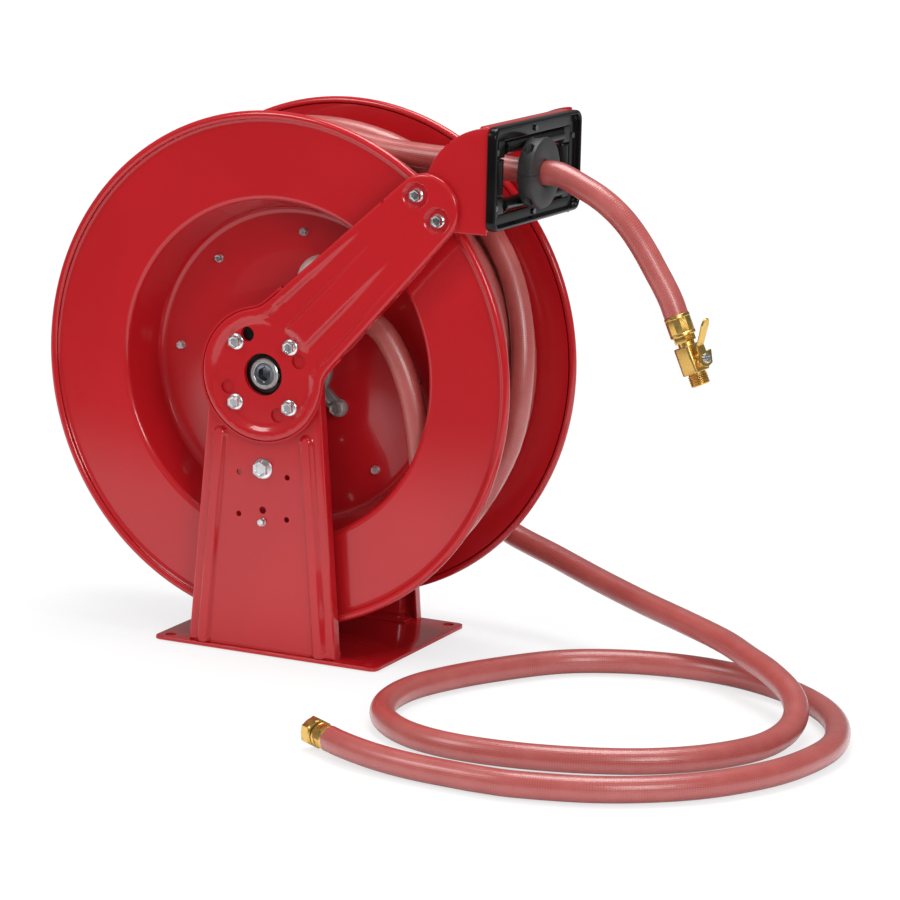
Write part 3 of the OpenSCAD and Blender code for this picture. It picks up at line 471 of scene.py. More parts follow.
def rounded_outline(corners, step):
    """A closed outline of (x, y) through corners of (x, y, fillet radius), evenly dense."""
    points = []
    n = len(corners)
    for i in range(n):
        a, b, c = (np.array(corners[(i + k) % n][:2], float) for k in (-1, 0, 1))
        r = corners[i][2]
        u, w = (a - b) / np.linalg.norm(a - b), (c - b) / np.linalg.norm(c - b)
        half = math.acos(float(u @ w)) / 2
        reach = r / math.tan(half)
        centre = b + (u + w) / np.linalg.norm(u + w) * (r / math.sin(half))
        first, second = b + u * reach - centre, b + w * reach - centre
        start = math.atan2(first[1], first[0])
        turn = (math.atan2(second[1], second[0]) - start + math.pi) % TAU - math.pi
        for t in np.linspace(0, 1, max(2, int(abs(turn) * r / step) + 2)):
            a = start + turn * t
            points.append((centre[0] + r * math.cos(a), centre[1] + r * math.sin(a)))
    return evenly(points, step)


def inside(points, outline):
    """For each point, whether it lies inside a closed outline."""
    x, y = points[:, 0], points[:, 1]
    found = np.zeros(len(points), bool)
    for (x0, y0), (x1, y1) in zip(outline, outline[1:] + outline[:1]):
        if y0 != y1:
            found ^= ((y0 > y) != (y1 > y)) & (x < (x1 - x0) * (y - y0) / (y1 - y0) + x0)
    return found


def gap_to(points, outline):
    """For each point, its distance to a closed outline."""
    best = np.full(len(points), 1e9)
    for a, b in zip(outline, outline[1:] + outline[:1]):
        a, b = np.array(a), np.array(b)
        d = b - a
        t = np.clip(((points - a) @ d) / max(d @ d, 1e-12), 0, 1)
        best = np.minimum(best, np.linalg.norm(points - a - t[:, None] * d, axis=1))
    return best


def inset_outline(outline, distance):
    """A closed outline moved inward, and the outward direction at each of its points."""
    p = np.array(outline)
    way = np.roll(p, -1, 0) - np.roll(p, 1, 0)
    way /= np.linalg.norm(way, axis=1)[:, None]
    area = np.sum(p[:, 0] * np.roll(p[:, 1], -1) - np.roll(p[:, 0], -1) * p[:, 1])
    out = np.stack([way[:, 1], -way[:, 0]], 1) * (1 if area > 0 else -1)
    return p - out * distance, out


# ---------------------------------------------------------------- shaping

def outward(part):
    """Turns the faces of a closed part to its outside."""
    bmesh.ops.recalc_face_normals(part, faces=part.faces)
    if part.calc_volume(signed=True) < 0:
        bmesh.ops.reverse_faces(part, faces=part.faces)


def new_mesh(name, part):
    mesh = bpy.data.meshes.new(name)
    part.to_mesh(mesh)
    part.free()
    return mesh


def new_object(name, data):
    obj = bpy.data.objects.new(name, data)
    bpy.context.scene.collection.objects.link(obj)
    return obj


def made(geometry, kind):
    return [g for g in geometry if isinstance(g, kind)]


class Shape:
    """Geometry in millimetres that grows piece by piece and ends as one object."""

    def __init__(self):
        self.bm = bmesh.new()
        self.bm.loops.layers.uv.new("UVMap")

    def take(self, part, matrix=HERE):
        """Adds another bmesh, moved by a matrix."""
        bmesh.ops.transform(part, matrix=matrix, verts=part.verts)
        if matrix.determinant() < 0:
            bmesh.ops.reverse_faces(part, faces=part.faces)
        mesh = new_mesh("part", part)
        self.bm.from_mesh(mesh)
        bpy.data.meshes.remove(mesh)
        return self

    def lathe(self, profile, matrix, steps=64, closed=False):
        """Turns a profile of (radius, height) about Z."""
        part = bmesh.new()
        verts = [part.verts.new((r, 0, h)) for r, h in profile]
        pairs = list(zip(verts, verts[1:])) + ([(verts[-1], verts[0])] if closed else [])
        edges = [part.edges.new(p) for p in pairs]
        bmesh.ops.spin(part, geom=verts + edges, cent=(0, 0, 0), axis=(0, 0, 1),
                       angle=TAU, steps=steps, use_merge=True)
        bmesh.ops.remove_doubles(part, verts=part.verts, dist=0.001)
        outward(part)
        return self.take(part, matrix)

    def prism(self, outline, height, matrix, bevel=0.0, segments=2):
        """Raises a flat outline of (x, y) along Z, with bevelled rims."""
        part = bmesh.new()
        face = part.faces.new([part.verts.new((x, y, 0)) for x, y in outline])
        top = bmesh.ops.extrude_face_region(part, geom=[face])["geom"]
        bmesh.ops.translate(part, verts=made(top, bmesh.types.BMVert), vec=(0, 0, height))
        outward(part)
        if bevel:
            rims = [e for e in part.edges if abs(e.verts[0].co.z - e.verts[1].co.z) < 1e-6]
            bmesh.ops.bevel(part, geom=rims, offset=bevel, segments=segments, profile=0.5,
                            affect="EDGES", material=-1)
        return self.take(part, matrix)

    def ball(self, radius, matrix):
        part = bmesh.new()
        bmesh.ops.create_uvsphere(part, u_segments=32, v_segments=20, radius=radius)
        return self.take(part, matrix)

    def tube(self, points, radius, sides=32):
        """Sweeps a circle along points; the map runs round it and along it in metres."""
        path = np.array(points, float)
        length = travelled(path) * MM
        part = bmesh.new()
        uv = part.loops.layers.uv.new("UVMap")
        rings = []
        for i, p in enumerate(path):
            z = Vector(path[min(i + 1, len(path) - 1)] - path[max(i - 1, 0)]).normalized()
            if i:
                side = side - z * side.dot(z)
            else:
                side = Vector((0, 0, 1)).cross(z)
                if side.length < 0.2:
                    side = Vector((0, 1, 0)).cross(z)
            side.normalize()
            rings.append(bmesh.ops.create_circle(part, segments=sides, radius=radius,
                                                 matrix=axes(side, z.cross(side), z, p))["verts"])
        for i, (a, b) in enumerate(zip(rings, rings[1:])):
            for k in range(sides):
                n = (k + 1) % sides
                face = part.faces.new((a[k], b[k], b[n], a[n]))
                for loop, (s, t) in zip(face.loops, ((k, i), (k, i + 1), (k + 1, i + 1),
                                                     (k + 1, i))):
                    loop[uv].uv = (s / sides, length[t])
        part.faces.new(rings[0])
        part.faces.new(rings[-1][::-1])
        outward(part)
        return self.take(part)

    def frame(self, loops, matrix=HERE, closed=False, caps=False):
        """Bridges loops, each a list of points, into a band such as a picture frame."""
        part = bmesh.new()
        rings = []
        for loop in loops:
            verts = [part.verts.new(p) for p in loop]
            rings.append([part.edges.new(p) for p in zip(verts, verts[1:] + verts[:1])])
        for a, b in list(zip(rings, rings[1:])) + ([(rings[-1], rings[0])] if closed else []):
            bmesh.ops.bridge_loops(part, edges=a + b)
        if caps:
            bmesh.ops.contextual_create(part, geom=rings[0])
            bmesh.ops.contextual_create(part, geom=rings[-1])
        outward(part)
        return self.take(part, matrix)

    def mesh(self, name):
        """Ends the shape as a mesh in metres."""
        bmesh.ops.scale(self.bm, vec=(MM, MM, MM), verts=self.bm.verts)
        return new_mesh(name, self.bm)

    def piece(self, name, body, finish, replaces, sharp=32.0):
        """Ends the shape as an object that rides on a body."""
        mesh = self.mesh(name)
        mesh.polygons.foreach_set("use_smooth", [True] * len(mesh.polygons))
        mesh.set_sharp_from_angle(angle=math.radians(sharp))
        mesh.materials.append(FINISHES[finish])
        obj = new_object(name, mesh)
        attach(obj, body)
        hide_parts(*([replaces] if isinstance(replaces, str) else replaces))
        return obj


def cut(obj, cutters):
    """Takes cutter shapes, in millimetres, out of a finished piece."""
    tool = new_object("cutter", cutters.mesh("cutter"))
    modifier = obj.modifiers.new("cut", "BOOLEAN")
    modifier.operation, modifier.object, modifier.solver = "DIFFERENCE", tool, "EXACT"
    bpy.context.view_layer.update()
    obj.data = bpy.data.meshes.new_from_object(
        obj.evaluated_get(bpy.context.evaluated_depsgraph_get()))
    obj.modifiers.clear()
    bpy.data.objects.remove(tool)
    obj.data.set_sharp_from_angle(angle=math.radians(32))


def flat_sheet(outline, holes, creases, height, step):
    """A triangulated sheet in an outline, raised by height(x, y), with no thickness."""
    low, high = np.min(outline, 0), np.max(outline, 0)
    grid = np.array([(x, y) for x in np.arange(low[0], high[0], step)
                     for y in np.arange(low[1], high[1], step)])
    keep = inside(grid, outline) & (gap_to(grid, outline) > step * 0.5)
    for hole in holes:
        keep &= ~inside(grid, hole) & (gap_to(grid, hole) > step * 0.35)
    for line in creases:
        keep &= gap_to(grid, line + line[-2:0:-1]) > step * 0.3
    points, edges = [], []
    for line in [outline, *holes, *creases]:
        k, n = len(points), len(line)
        edges += [(k + i, k + i + 1) for i in range(n - 1)]
        points += line
        if line not in creases:
            edges.append((k + n - 1, k))
    points += [tuple(q) for q in grid[keep]]
    verts, _, faces, *_ = delaunay_2d_cdt([Vector(q) for q in points], edges, [], 0, 1e-5)
    flat = np.array([tuple(v) for v in verts])
    middle = np.array([flat[list(f)].mean(0) for f in faces])
    good = inside(middle, outline)
    for hole in holes:
        good &= ~inside(middle, hole)
    part = bmesh.new()
    corners = [part.verts.new((x, y, height(x, y))) for x, y in flat]
    for f, ok in zip(faces, good):
        if ok:
            part.faces.new([corners[i] for i in f])
    for v in [v for v in part.verts if not v.link_faces]:
        part.verts.remove(v)
    return part


def pressed_sheet(shape, outline, holes, height, matrix, rim, skirt, step, thick, creases=()):
    """A pressed steel sheet: height(x, y) raises it, and its edge turns back by skirt.

    Creases are lines of points that the sheet's facets follow where its slope changes.
    """
    inner, out = inset_outline(outline, rim)
    part = flat_sheet([tuple(q) for q in inner], holes, creases, height, step)

    def key(x, y):
        return round(x, 3), round(y, 3)

    near = {key(*q): side for q, side in zip(inner, out)}
    row = [e for e in part.edges
           if e.is_boundary and all(key(*v.co.xy) in near for v in e.verts)]
    base = {v: (v.co.copy(), near[key(*v.co.xy)]) for e in row for v in e.verts}
    levels = [(rim * math.sin(a), rim * (1 - math.cos(a)))
              for a in map(math.radians, (22.5, 45, 67.5, 90))]
    deep = skirt if callable(skirt) else (lambda x, y: skirt)
    for reach, drop in levels + [(rim, None)]:
        fresh = bmesh.ops.extrude_edge_only(part, edges=row)["geom"]
        lookup = {}
        for v in made(fresh, bmesh.types.BMVert):
            lookup[v] = min(base.items(), key=lambda item: (item[0].co - v.co).length_squared)[1]
        for v, (home, side) in lookup.items():
            z = -deep(home.x, home.y) if drop is None else home.z - drop
            v.co = (home.x + side[0] * reach, home.y + side[1] * reach, z)
        base = lookup
        row = [e for e in made(fresh, bmesh.types.BMEdge) if all(v in lookup for v in e.verts)]
    bmesh.ops.recalc_face_normals(part, faces=part.faces)
    top = max(part.faces, key=lambda f: f.calc_area() * abs(f.normal.z))
    if top.normal.z < 0:
        bmesh.ops.reverse_faces(part, faces=part.faces)
    thicken(part, thick)
    return shape.take(part, matrix)


def thicken(part, thick):
    """Gives a sheet its second side, and closes its free edges."""
    part.normal_update()
    faces = part.faces[:]
    rims = [e.link_loops[0] for e in part.edges if e.is_boundary]
    rims = [(loop.vert, loop.link_loop_next.vert) for loop in rims]
    places = {v: v.co - v.normal * (thick * min(v.calc_shell_factor(), 1.3))
              for v in part.verts[:]}
    twin = {v: part.verts.new(place) for v, place in places.items()}
    for face in faces:
        part.faces.new([twin[v] for v in reversed(face.verts)])
    for a, b in rims:
        part.faces.new([b, a, twin[a], twin[b]])
    part.normal_update()


def hex_head(shape, matrix, flats, height, washer, recess=1.2):
    """A hex head with a chamfered, dished top and a round flange under it."""
    r = flats / math.sqrt(3)
    shape.lathe([(0, -1.0), (washer, -1.0), (washer, 0.9), (washer - 0.5, 1.5),
                 (flats / 2 + 0.4, 2.3), (0, 2.3)], matrix, 40)
    part = bmesh.new()
    bmesh.ops.create_cone(part, segments=6, radius1=r, radius2=r, depth=height, cap_ends=True,
                          matrix=shift(z=2.0 + height / 2))
    top = max(part.faces, key=lambda f: f.calc_center_median().z)
    for width, rise in ((0.12 * r, 0.0), (0.10 * r, -0.35 * recess), (0.14 * r, -recess)):
        bmesh.ops.inset_region(part, faces=[top], thickness=width, depth=rise)
    sides = [e for e in part.edges
             if abs(e.verts[0].co.z - e.verts[1].co.z) > height * 0.7]
    bmesh.ops.bevel(part, geom=sides, offset=0.35, segments=2, profile=0.5, affect="EDGES",
                    material=-1)
    return shape.take(part, matrix)


def crimped(shape, m, length, radius, flats=12):
    """A hose ferrule pressed on with lengthwise flats, its two ends left round."""
    shape.lathe([(0, 0), (radius - 1.1, 0), (radius - 0.3, 0.7), (radius, 1.8), (radius, 3.4),
                 (radius - 0.6, 4.2), (0, 4.2)], m, 48)
    shape.prism(ring(0, 0, radius * 0.985, flats), length - 6.0, m @ shift(z=3.0), bevel=0.7)
    return shape.lathe([(0, length - 4.2), (radius - 0.6, length - 4.2), (radius, length - 3.4),
                        (radius, length - 1.4), (radius - 0.8, length - 0.3),
                        (radius - 2, length), (0, length)], m, 48)


def tip_screws(s):
    """Where the two screws of an arm's tip stand, as (x, z)."""
    c, n, u = math.cos(s["arm_a"]), math.sin(s["arm_a"]), s["arm"] + 3
    return [(u * c - v * n, s["axle"] + u * n + v * c) for v in TIP_SCREWS]


# ---------------------------------------------------------------- operators

class PieceOperator:
    """Shared parts of the reel's operators."""

    bl_options = {"REGISTER", "UNDO"}

    def execute(self, context):
        if not FINISHES:
            make_finishes()
        self.build(sizes())
        return {"FINISHED"}


class HOSEREEL_OT_stage(PieceOperator, bpy.types.Operator):
    """Sets the camera, the soft lights and the pale floor"""
    bl_idname = "hosereel.stage"
    bl_label = "Stage"

    def build(self, s):
        scene = bpy.context.scene
        scene.view_settings.view_transform = "Standard"
        self.camera(scene)
        self.floor()
        self.world(scene)
        self.lamp("key", (-1.6, -2.4, 2.6), 1.1, 31)
        self.lamp("side", (2.3, -1.9, 1.5), 0.9, 25)
        self.lamp("top", (0.3, 0.2, 2.6), 1.4, 42)

    def camera(self, scene):
        az, el, roll = map(math.radians, (CAMERA_TURN, CAMERA_RISE, CAMERA_ROLL))
        back = Vector((math.sin(az) * math.cos(el), -math.cos(az) * math.cos(el),
                       math.sin(el)))
        right = Vector((math.cos(az), math.sin(az), 0))
        up = back.cross(right)
        data = bpy.data.cameras.new("camera")
        data.sensor_width, data.lens = SENSOR, FOCAL_PIXELS / WIDTH_PIXELS * SENSOR
        data.clip_end = 50
        scene.camera = new_object("camera", data)
        scene.camera.matrix_world = axes(
            right * math.cos(roll) + up * math.sin(roll),
            up * math.cos(roll) - right * math.sin(roll), back,
            (back * CAMERA_BACK + right * CAMERA_RIGHT + up * CAMERA_UP) * MM)

    def lamp(self, name, place, size, power):
        """A square lamp that shines on the reel's middle."""
        data = bpy.data.lights.new(name, "AREA")
        data.size, data.energy = size, power
        z = (Vector(place) - Vector((0.1, 0, 0.3))).normalized()
        x = Vector((0, 0, 1)).cross(z).normalized()
        new_object(name, data).matrix_world = axes(x, z.cross(x), z, place)

    def floor(self):
        """A floor that glows white to the camera far away, and dims in mirrors."""
        part = bmesh.new()
        bmesh.ops.create_grid(part, x_segments=2, y_segments=2, size=30,
                              matrix=shift(z=-0.0012))
        floor = new_object("floor", new_mesh("floor", part))
        f = Finish("pale_floor", roughness=0.7, Specular_IOR_Level=0.1)
        feed(f.shader.inputs["Base Color"],
             f.mix(f.noise(1.5, 2.0), (0.80, 0.80, 0.80), (0.84, 0.84, 0.84)))
        glow, dim = (f.node("ShaderNodeEmission", Color=(1, 1, 1, 1), Strength=strength)
                     for strength in (1.06, 0.06))
        x, y, _ = f.parts(f.place)
        far = (((x - 0.2) * (x - 0.2) + y * y) ** 0.5).between(1.0, 2.0)
        path = f.node("ShaderNodeLightPath").outputs
        mirrored = Value(path["Is Glossy Ray"]) * (1.0 - y.between(-1.40, -0.85))
        seen = Value(path["Is Camera Ray"]) * (far * 0.34 + 0.66)
        surface = blended(f.shader.outputs[0], mirrored, dim.outputs[0])
        surface = blended(surface, seen, glow.outputs[0])
        feed(f.tree.nodes["Material Output"].inputs["Surface"], surface)
        floor.data.materials.append(f.material)

    def world(self, scene):
        """A soft sky, darker in mirrors and white to the camera."""
        scene.world = bpy.data.worlds.new("studio")
        scene.world.use_nodes = True
        nodes = scene.world.node_tree.nodes
        surface = nodes["Background"].outputs[0]
        sky = nodes["Background"].inputs
        sky["Color"].default_value, sky["Strength"].default_value = (0.95, 0.97, 1.0, 1), 0.75
        path = add_node(nodes, "ShaderNodeLightPath")
        for ray, strength in (("Is Glossy Ray", 0.20), ("Is Camera Ray", 1.0)):
            other = add_node(nodes, "ShaderNodeBackground", Color=(1, 1, 1, 1),
                             Strength=strength)
            surface = blended(surface, path.outputs[ray], other.outputs[0])
        feed(nodes["World Output"].inputs["Surface"], surface)


class HOSEREEL_OT_base(PieceOperator, bpy.types.Operator):
    """Makes the base plate and the two posts"""
    bl_idname = "hosereel.base"
    bl_label = "Base and posts"

    def build(self, s):
        corners = [(-137, -114, 7), (147, -114, 7), (147, 114, 7), (-137, 114, 7)]
        holes = [ring(5 + x, y, 6.25, 32) for x in (-127, 127) for y in (-101, 101)]
        plate = pressed_sheet(Shape(), rounded_outline(corners, 6), holes, lambda x, y: 0.0,
                              shift(z=4), rim=0.8, skirt=4, step=24, thick=3.9)
        plate.piece("base_plate_steel", "frame", "paint", "base_plate")
        for name, m in SIDES:
            self.post(s, m).piece(f"{name}_post_steel", "frame", "paint", f"{name}_post")

    def post(self, s, m):
        """A flanged sheet with a round top, and a long pressed rib along either side."""
        axle = s["axle"]
        outline = evenly([(-94, 4), (94, 4)] + arc(0, axle, 68, 5, 175, 34), 4)
        holes = [ring(0, axle, BEARING_R, 40), ring(0, 165.5, 4.2), ring(0, LATCH_Z, 5.2),
                 ring(0, HOOK_Z, 2.7, 12)]
        holes += [ring(x, z, 3.3) for x in (-30.4, 30.4) for z in (158, 206)]
        a = math.radians(SPARE_ANGLES[1])
        holes.append(ring(SPARE_R * math.cos(a), axle + SPARE_R * math.sin(a), SPARE_HOLE_R))
        holes += [ring(x, axle + z, SCREW_HOLE_R, 16) for x, z in HUB_SCREWS]
        low, high = np.array((75.0, 0.0)), np.array((54.6, 248.0))
        length = np.linalg.norm(high - low)
        way = (high - low) / length
        side = np.array((way[1], -way[0]))
        crest, toe = 4.4, 9.4

        def height(x, z):
            p = np.array((abs(x), z)) - low
            t = min(length, max(0.0, float(p @ way)))
            return 5.4 * (1 - smooth(crest, toe, float(np.linalg.norm(p - way * t))))

        lines = []
        for reach in (crest, 5.6, 6.9, 8.2, toe):
            right = [low + way * t + side * reach for t in np.arange(13, 248, 3.1)]
            turn = [high + reach * (side * math.cos(a) + way * math.sin(a))
                    for a in np.radians(np.arange(0, 181, 15))]
            left = [low + way * t - side * reach for t in np.arange(245, 12, -3.1)]
            line = [tuple(q) for q in right + turn + left]
            lines += [line, [(-x, z) for x, z in line]]
        shape = pressed_sheet(
            Shape(), outline, holes, height, m @ front_plane(-POST_Y), rim=3.0,
            skirt=lambda x, z: 13 - 6 * smooth(axle + 20, axle + 45, z),
            step=4.0, thick=2.4, creases=lines)
        return shape.prism([(-86, -109), (86, -109), (86, -79), (-86, -79)], 3,
                           m @ shift(z=4), bevel=0.8)


class HOSEREEL_OT_arms(PieceOperator, bpy.types.Operator):
    """Makes the two pressed guide arms"""
    bl_idname = "hosereel.arms"
    bl_label = "Guide arms"

    def build(self, s):
        for name, m in SIDES:
            self.arm(s, m).piece(f"{name}_arm_steel", "frame", "paint", f"{name}_arm")

    def outline(self, s):
        """A round hub and a round tip, joined by two slightly closing sides."""
        length = s["arm"]
        low, up = ([(u, v + slope * u) for u in (60, length)]
                   for v, slope in ((-53.5, 0.0507), (58.9, -0.0699)))
        points = np.array(evenly(low + arc(length, 0, 39.3, -87, 85, 43) + up[::-1]
                                 + arc(0, 0, 75, 50, 314, 88), 2.5))
        for _ in range(14):
            points = points * 0.5 + (np.roll(points, 1, 0) + np.roll(points, -1, 0)) * 0.25
        return [tuple(p) for p in points]

    def arm(self, s, m):
        turn, length = s["arm_a"], s["arm"]
        tips = [(length + 3, v) for v in TIP_SCREWS]

        def height(u, v):
            """Sunk at the hub, round the tip's screws and between the two long ribs."""
            top, low = 51 - 0.065 * u, -46 + 0.05 * u
            upper = smooth(14.5, 19, v) * (1 - smooth(top - 5.5, top - 1, v))
            lower = (1 - smooth(-14.5, -10, v)) * smooth(low + 1, low + 5.5, v)
            fade = smooth(30, 52, u) * (1 - smooth(100, 232, u))
            deep = max(1 - smooth(57, 66, math.hypot(u, v)), fade * max(upper, lower))
            for tu, tv in tips:
                deep = max(deep, 1 - smooth(11.5, 15.5, math.hypot(u - tu, v - tv)))
            return 4.0 - 4.0 * deep

        holes = [ring(0, 0, BEARING_R, 48)]
        holes += [self.hole(x, z, turn, SCREW_HOLE_R) for x, z in HUB_SCREWS]
        holes += [self.hole(SPARE_R * math.cos(a), SPARE_R * math.sin(a), turn, SPARE_HOLE_R)
                  for a in map(math.radians, SPARE_ANGLES)]
        holes += [ring(u, v, SCREW_HOLE_R) for u, v in tips]
        lines = [ring(0, 0, r, 96) for r in (57, 59.2, 61.5, 63.8, 66)]
        lines += [ring(u, v, r, 40) for u, v in tips for r in (11.5, 12.8, 14.2, 15.5)]
        lines = [line + line[:1] for line in lines]
        for t in (0, 0.25, 0.5, 0.75, 1):
            for v, slope in ((14.5, 0), (45.5, -0.065), (-14.5, 0), (-45, 0.05)):
                lines.append([(u, v + slope * u + 4.5 * t) for u in np.arange(68.5, 232, 3.0)])
        return pressed_sheet(
            Shape(), self.outline(s), holes, height, m @ front_plane(-ARM_Y, s["axle"], turn),
            rim=3.4, step=3.0, thick=2.4, creases=lines,
            skirt=lambda u, v: -3.2 + 13 * smooth(80, 105, u) - 6 * smooth(225, 250, u))

    def hole(self, x, z, turn, r):
        """A hole at a place measured level and upright, in the arm's own directions."""
        c, n = math.cos(turn), math.sin(turn)
        return ring(x * c + z * n, -x * n + z * c, r)


class HOSEREEL_OT_screws(PieceOperator, bpy.types.Operator):
    """Makes the screws of the hub, arm tips, discs, latch and drum hub"""
    bl_idname = "hosereel.screws"
    bl_label = "Screws"

    def build(self, s):
        axle, floor = s["axle"], s["disc_y"] - s["well"]
        hub, tip, discs, bolts, pivot, hook = (Shape() for _ in range(6))
        for side in (-1, 1):
            for x, z in HUB_SCREWS:
                hex_head(hub, axle_frame(x, side * ARM_Y, axle + z, side), 12.5, 5.5, 9)
            for x, z in tip_screws(s):
                hex_head(tip, axle_frame(x, side * ARM_Y, z, side), 12, 5, 8)
            for x, z in arc(0, axle, 150.5, 42.5, 357.5, 7):
                hex_head(discs, axle_frame(x, side * floor, z, side), 7.5, 3.2, 5.2, 0.8)
        for x, z in arc(0, axle, HUB_ARM_R, HUB_ARM_ANGLE, HUB_ARM_ANGLE + 270, 3):
            hex_head(bolts, axle_frame(x, -40, z), 12, 5, 9)
        hub.piece("arm_hub_screw_heads", "frame", "zinc", "arm_hub_screws")
        tip.piece("arm_tip_screw_heads", "frame", "zinc", "arm_tip_screws")
        discs.piece("disc_screw_heads", "drum", "zinc", "disc_screws")
        bolts.piece("hub_bolt_heads", "drum", "dull", "hub_bolts")
        hex_head(pivot, axle_frame(0, -POST_Y, LATCH_Z), 16, 7, 11.5, 1.8)
        pivot.lathe([(0, 0), (4.95, 0), (4.95, 26), (0, 26)],
                    axle_frame(0, -POST_Y, LATCH_Z, 1), 32)
        pivot.prism(ring(0, 0, 9.2, 6), 4, axle_frame(0, -86.7, LATCH_Z, 1), bevel=0.5)
        pivot.piece("latch_bolt", "frame", "zinc", "pawl_bolt")
        hex_head(hook, axle_frame(0, -POST_Y, HOOK_Z), 7, 3.5, 4.8, 0.8)
        hook.lathe([(0, 0), (2.5, 0), (2.5, 17), (0, 17)], axle_frame(0, -POST_Y, HOOK_Z, 1), 24)
        hook.piece("latch_spring_screw", "frame", "zinc", "spring_hook_screw")


class HOSEREEL_OT_discs(PieceOperator, bpy.types.Operator):
    """Makes the two dished discs with their rolled rims"""
    bl_idname = "hosereel.discs"
    bl_label = "Discs"

    def profile(self, s):
        """The sheet's closed outline as (radius, depth): rolled rim, face and well."""
        r, lip, deep, t = s["disc_r"], s["well_r"], s["well"], 1.6
        middle = [(18, deep - 1.2), (60, deep - 1.2), (108, deep - 1.2), (112, deep)]
        outer = arc(r - 4.75, -2.3, 4.75, -150, 110, 22)
        outer += [(r - 9.0, -2.8), (r - 9.8, -1.2), (r - 11.5, -0.2), (r - 14, 0.0)]
        outer += arc(lip + 7, 7, 7, 270, 186, 10) + arc(lip - 20.5, deep - 9, 9, 6, 90, 10)
        outer += [(150, deep)] + middle[::-1]
        back = [(x, y + t) for x, y in middle]
        back += arc(lip - 20.5, deep - 9, 9 + t, 90, 6, 10)
        back += arc(lip + 7, 7, 7 - t, 186, 270, 10) + [(r - 14, t), (r - 8, t)]
        return outer + back

    def build(self, s):
        profile = [(r, -h) for r, h in self.profile(s)]
        for name, side in (("front", -1), ("rear", 1)):
            disc = Shape().lathe(profile, axle_frame(0, side * s["disc_y"], s["axle"], side),
                                 160, closed=True)
            disc.piece(f"{name}_disc_steel", "drum", "paint", f"{name}_disc", sharp=40)


class HOSEREEL_OT_hub(PieceOperator, bpy.types.Operator):
    """Makes the shaft, its plug and rings, the cast hub and the hose riser"""
    bl_idname = "hosereel.hub"
    bl_label = "Hub and riser"

    def build(self, s):
        self.shaft(s["axle"])
        self.casting(s["axle"])
        self.riser(s["axle"], s["hose_r"])

    def shaft(self, axle):
        shaft = Shape().lathe(
            [(12.5, 18), (12.5, 0.4), (13.0, 0), (16.4, 0), (17.5, 1.1), (17.5, 2.2),
             (16.8, 2.4), (16.8, 3.6), (17.5, 3.8), (17.5, 234), (15, 234), (15, 260),
             (9, 260), (9, 170), (12.5, 169)], axle_frame(0, -SHAFT_Y, axle, 1), 96, closed=True)
        shaft.piece("drum_shaft", "drum", "steel", "shaft")
        socket, circle = hexagon_and_circle(14.3 / math.sqrt(3), TAU / 12)
        plug = Shape().frame(
            [level(circle, 12.5, -18), level(circle, 12.5, -1.4), level(circle, 11.7, -0.6),
             level(circle, 9.2, -0.5), level(socket, 1.04, -1.2), level(socket, 1, -11),
             level(socket, 0.1, -13)], axle_frame(0, -SHAFT_Y, axle), caps=True)
        plug.piece("shaft_end_plug", "drum", "spring", "shaft_plug")
        rings = Shape()
        for side in (-1, 1):
            m = axle_frame(0, side * 106.1, axle, side)
            rings.prism(arc(0, 0, 20.8, 14, 344, 55) + arc(0, 0, 17.6, 346, 16, 55), 1.5, m,
                        bevel=0.2)
            for x, y in arc(0, 0, 18.4, 15, -15, 1):
                rings.lathe([(1.0, 0), (2.9, 0), (2.9, 1.5), (1.0, 1.5)], m @ shift(x, y), 24,
                            closed=True)
        rings.piece("shaft_snap_rings", "drum", "dark", "retaining_rings")

    def casting(self, axle):
        hub = Shape().lathe(
            [(17.6, -55), (33, -55), (34, -54), (35.5, -14), (38, -9), (45, -8), (46, -7),
             (46, 0), (17.6, 0)], axle_frame(0, -32, axle, 1), closed=True)
        for k in range(4):
            m = turned((0, -32, axle), (90, "X"), (HUB_ARM_ANGLE + 90 * k, "Z"))
            hub.lathe([(0, 0), (10.5, 0), (10, 6.6), (9.2, 7.4), (0, 7.4)],
                      m @ shift(HUB_ARM_R), 40)
            hub.prism([(30, -9), (71, -7.5), (71, 7.5), (30, 9)], 7.5, m, 1.4, 3)
            hub.prism([(32, -2.5), (62, -2), (62, 2), (32, 2.5)], 14, m, 1.2, 3)
        hub.piece("drum_hub_casting", "drum", "cast", "hub_casting", sharp=45)

    def riser(self, axle, hose_r):
        def route(points, step):
            return smooth_path([(x, WELL_Y, axle + z) for x, z in points], step)[0]

        m = turned((46, WELL_Y, axle + 108), (90 + 37, "Y"))
        elbow = Shape().tube(route([(0, 0), (17, 40), (34, 82), (43, 101), (54, 106.5), (66, 93),
                                    (76.3, 85.2)], 3.0), 14.5)
        elbow.lathe([(0, 12), (15.5, 12), (16.5, 14), (16.5, 30), (17.2, 31), (17.2, 33),
                     (0, 33)], m, 48)
        elbow.prism(ring(0, 0, 19, 6), 8, m @ shift(z=33), bevel=0.9)
        elbow.ball(27.3, shift(43.5, WELL_Y, axle + 103.5) @ Matrix.Diagonal((1, 0.86, 1, 1)))
        elbow.piece("riser_elbow_casting", "drum", "pale_cast", "riser_elbow", sharp=50)
        ferrule = crimped(Shape(), m @ shift(z=41), 39, 15.8)
        ferrule.piece("riser_crimp", "drum", "brass", "riser_ferrule", sharp=25)
        hose = Shape().tube(route([(109.9, 59.8), (123.5, 49.6), (137, 31), (147.5, 11),
                                   (156, -11), (162.5, -34), (166.7, -56), (169.5, -76),
                                   (171.6, -91)], 4.0), hose_r)
        hose.piece("lead_hose", "drum", "hose", "hose_lead")


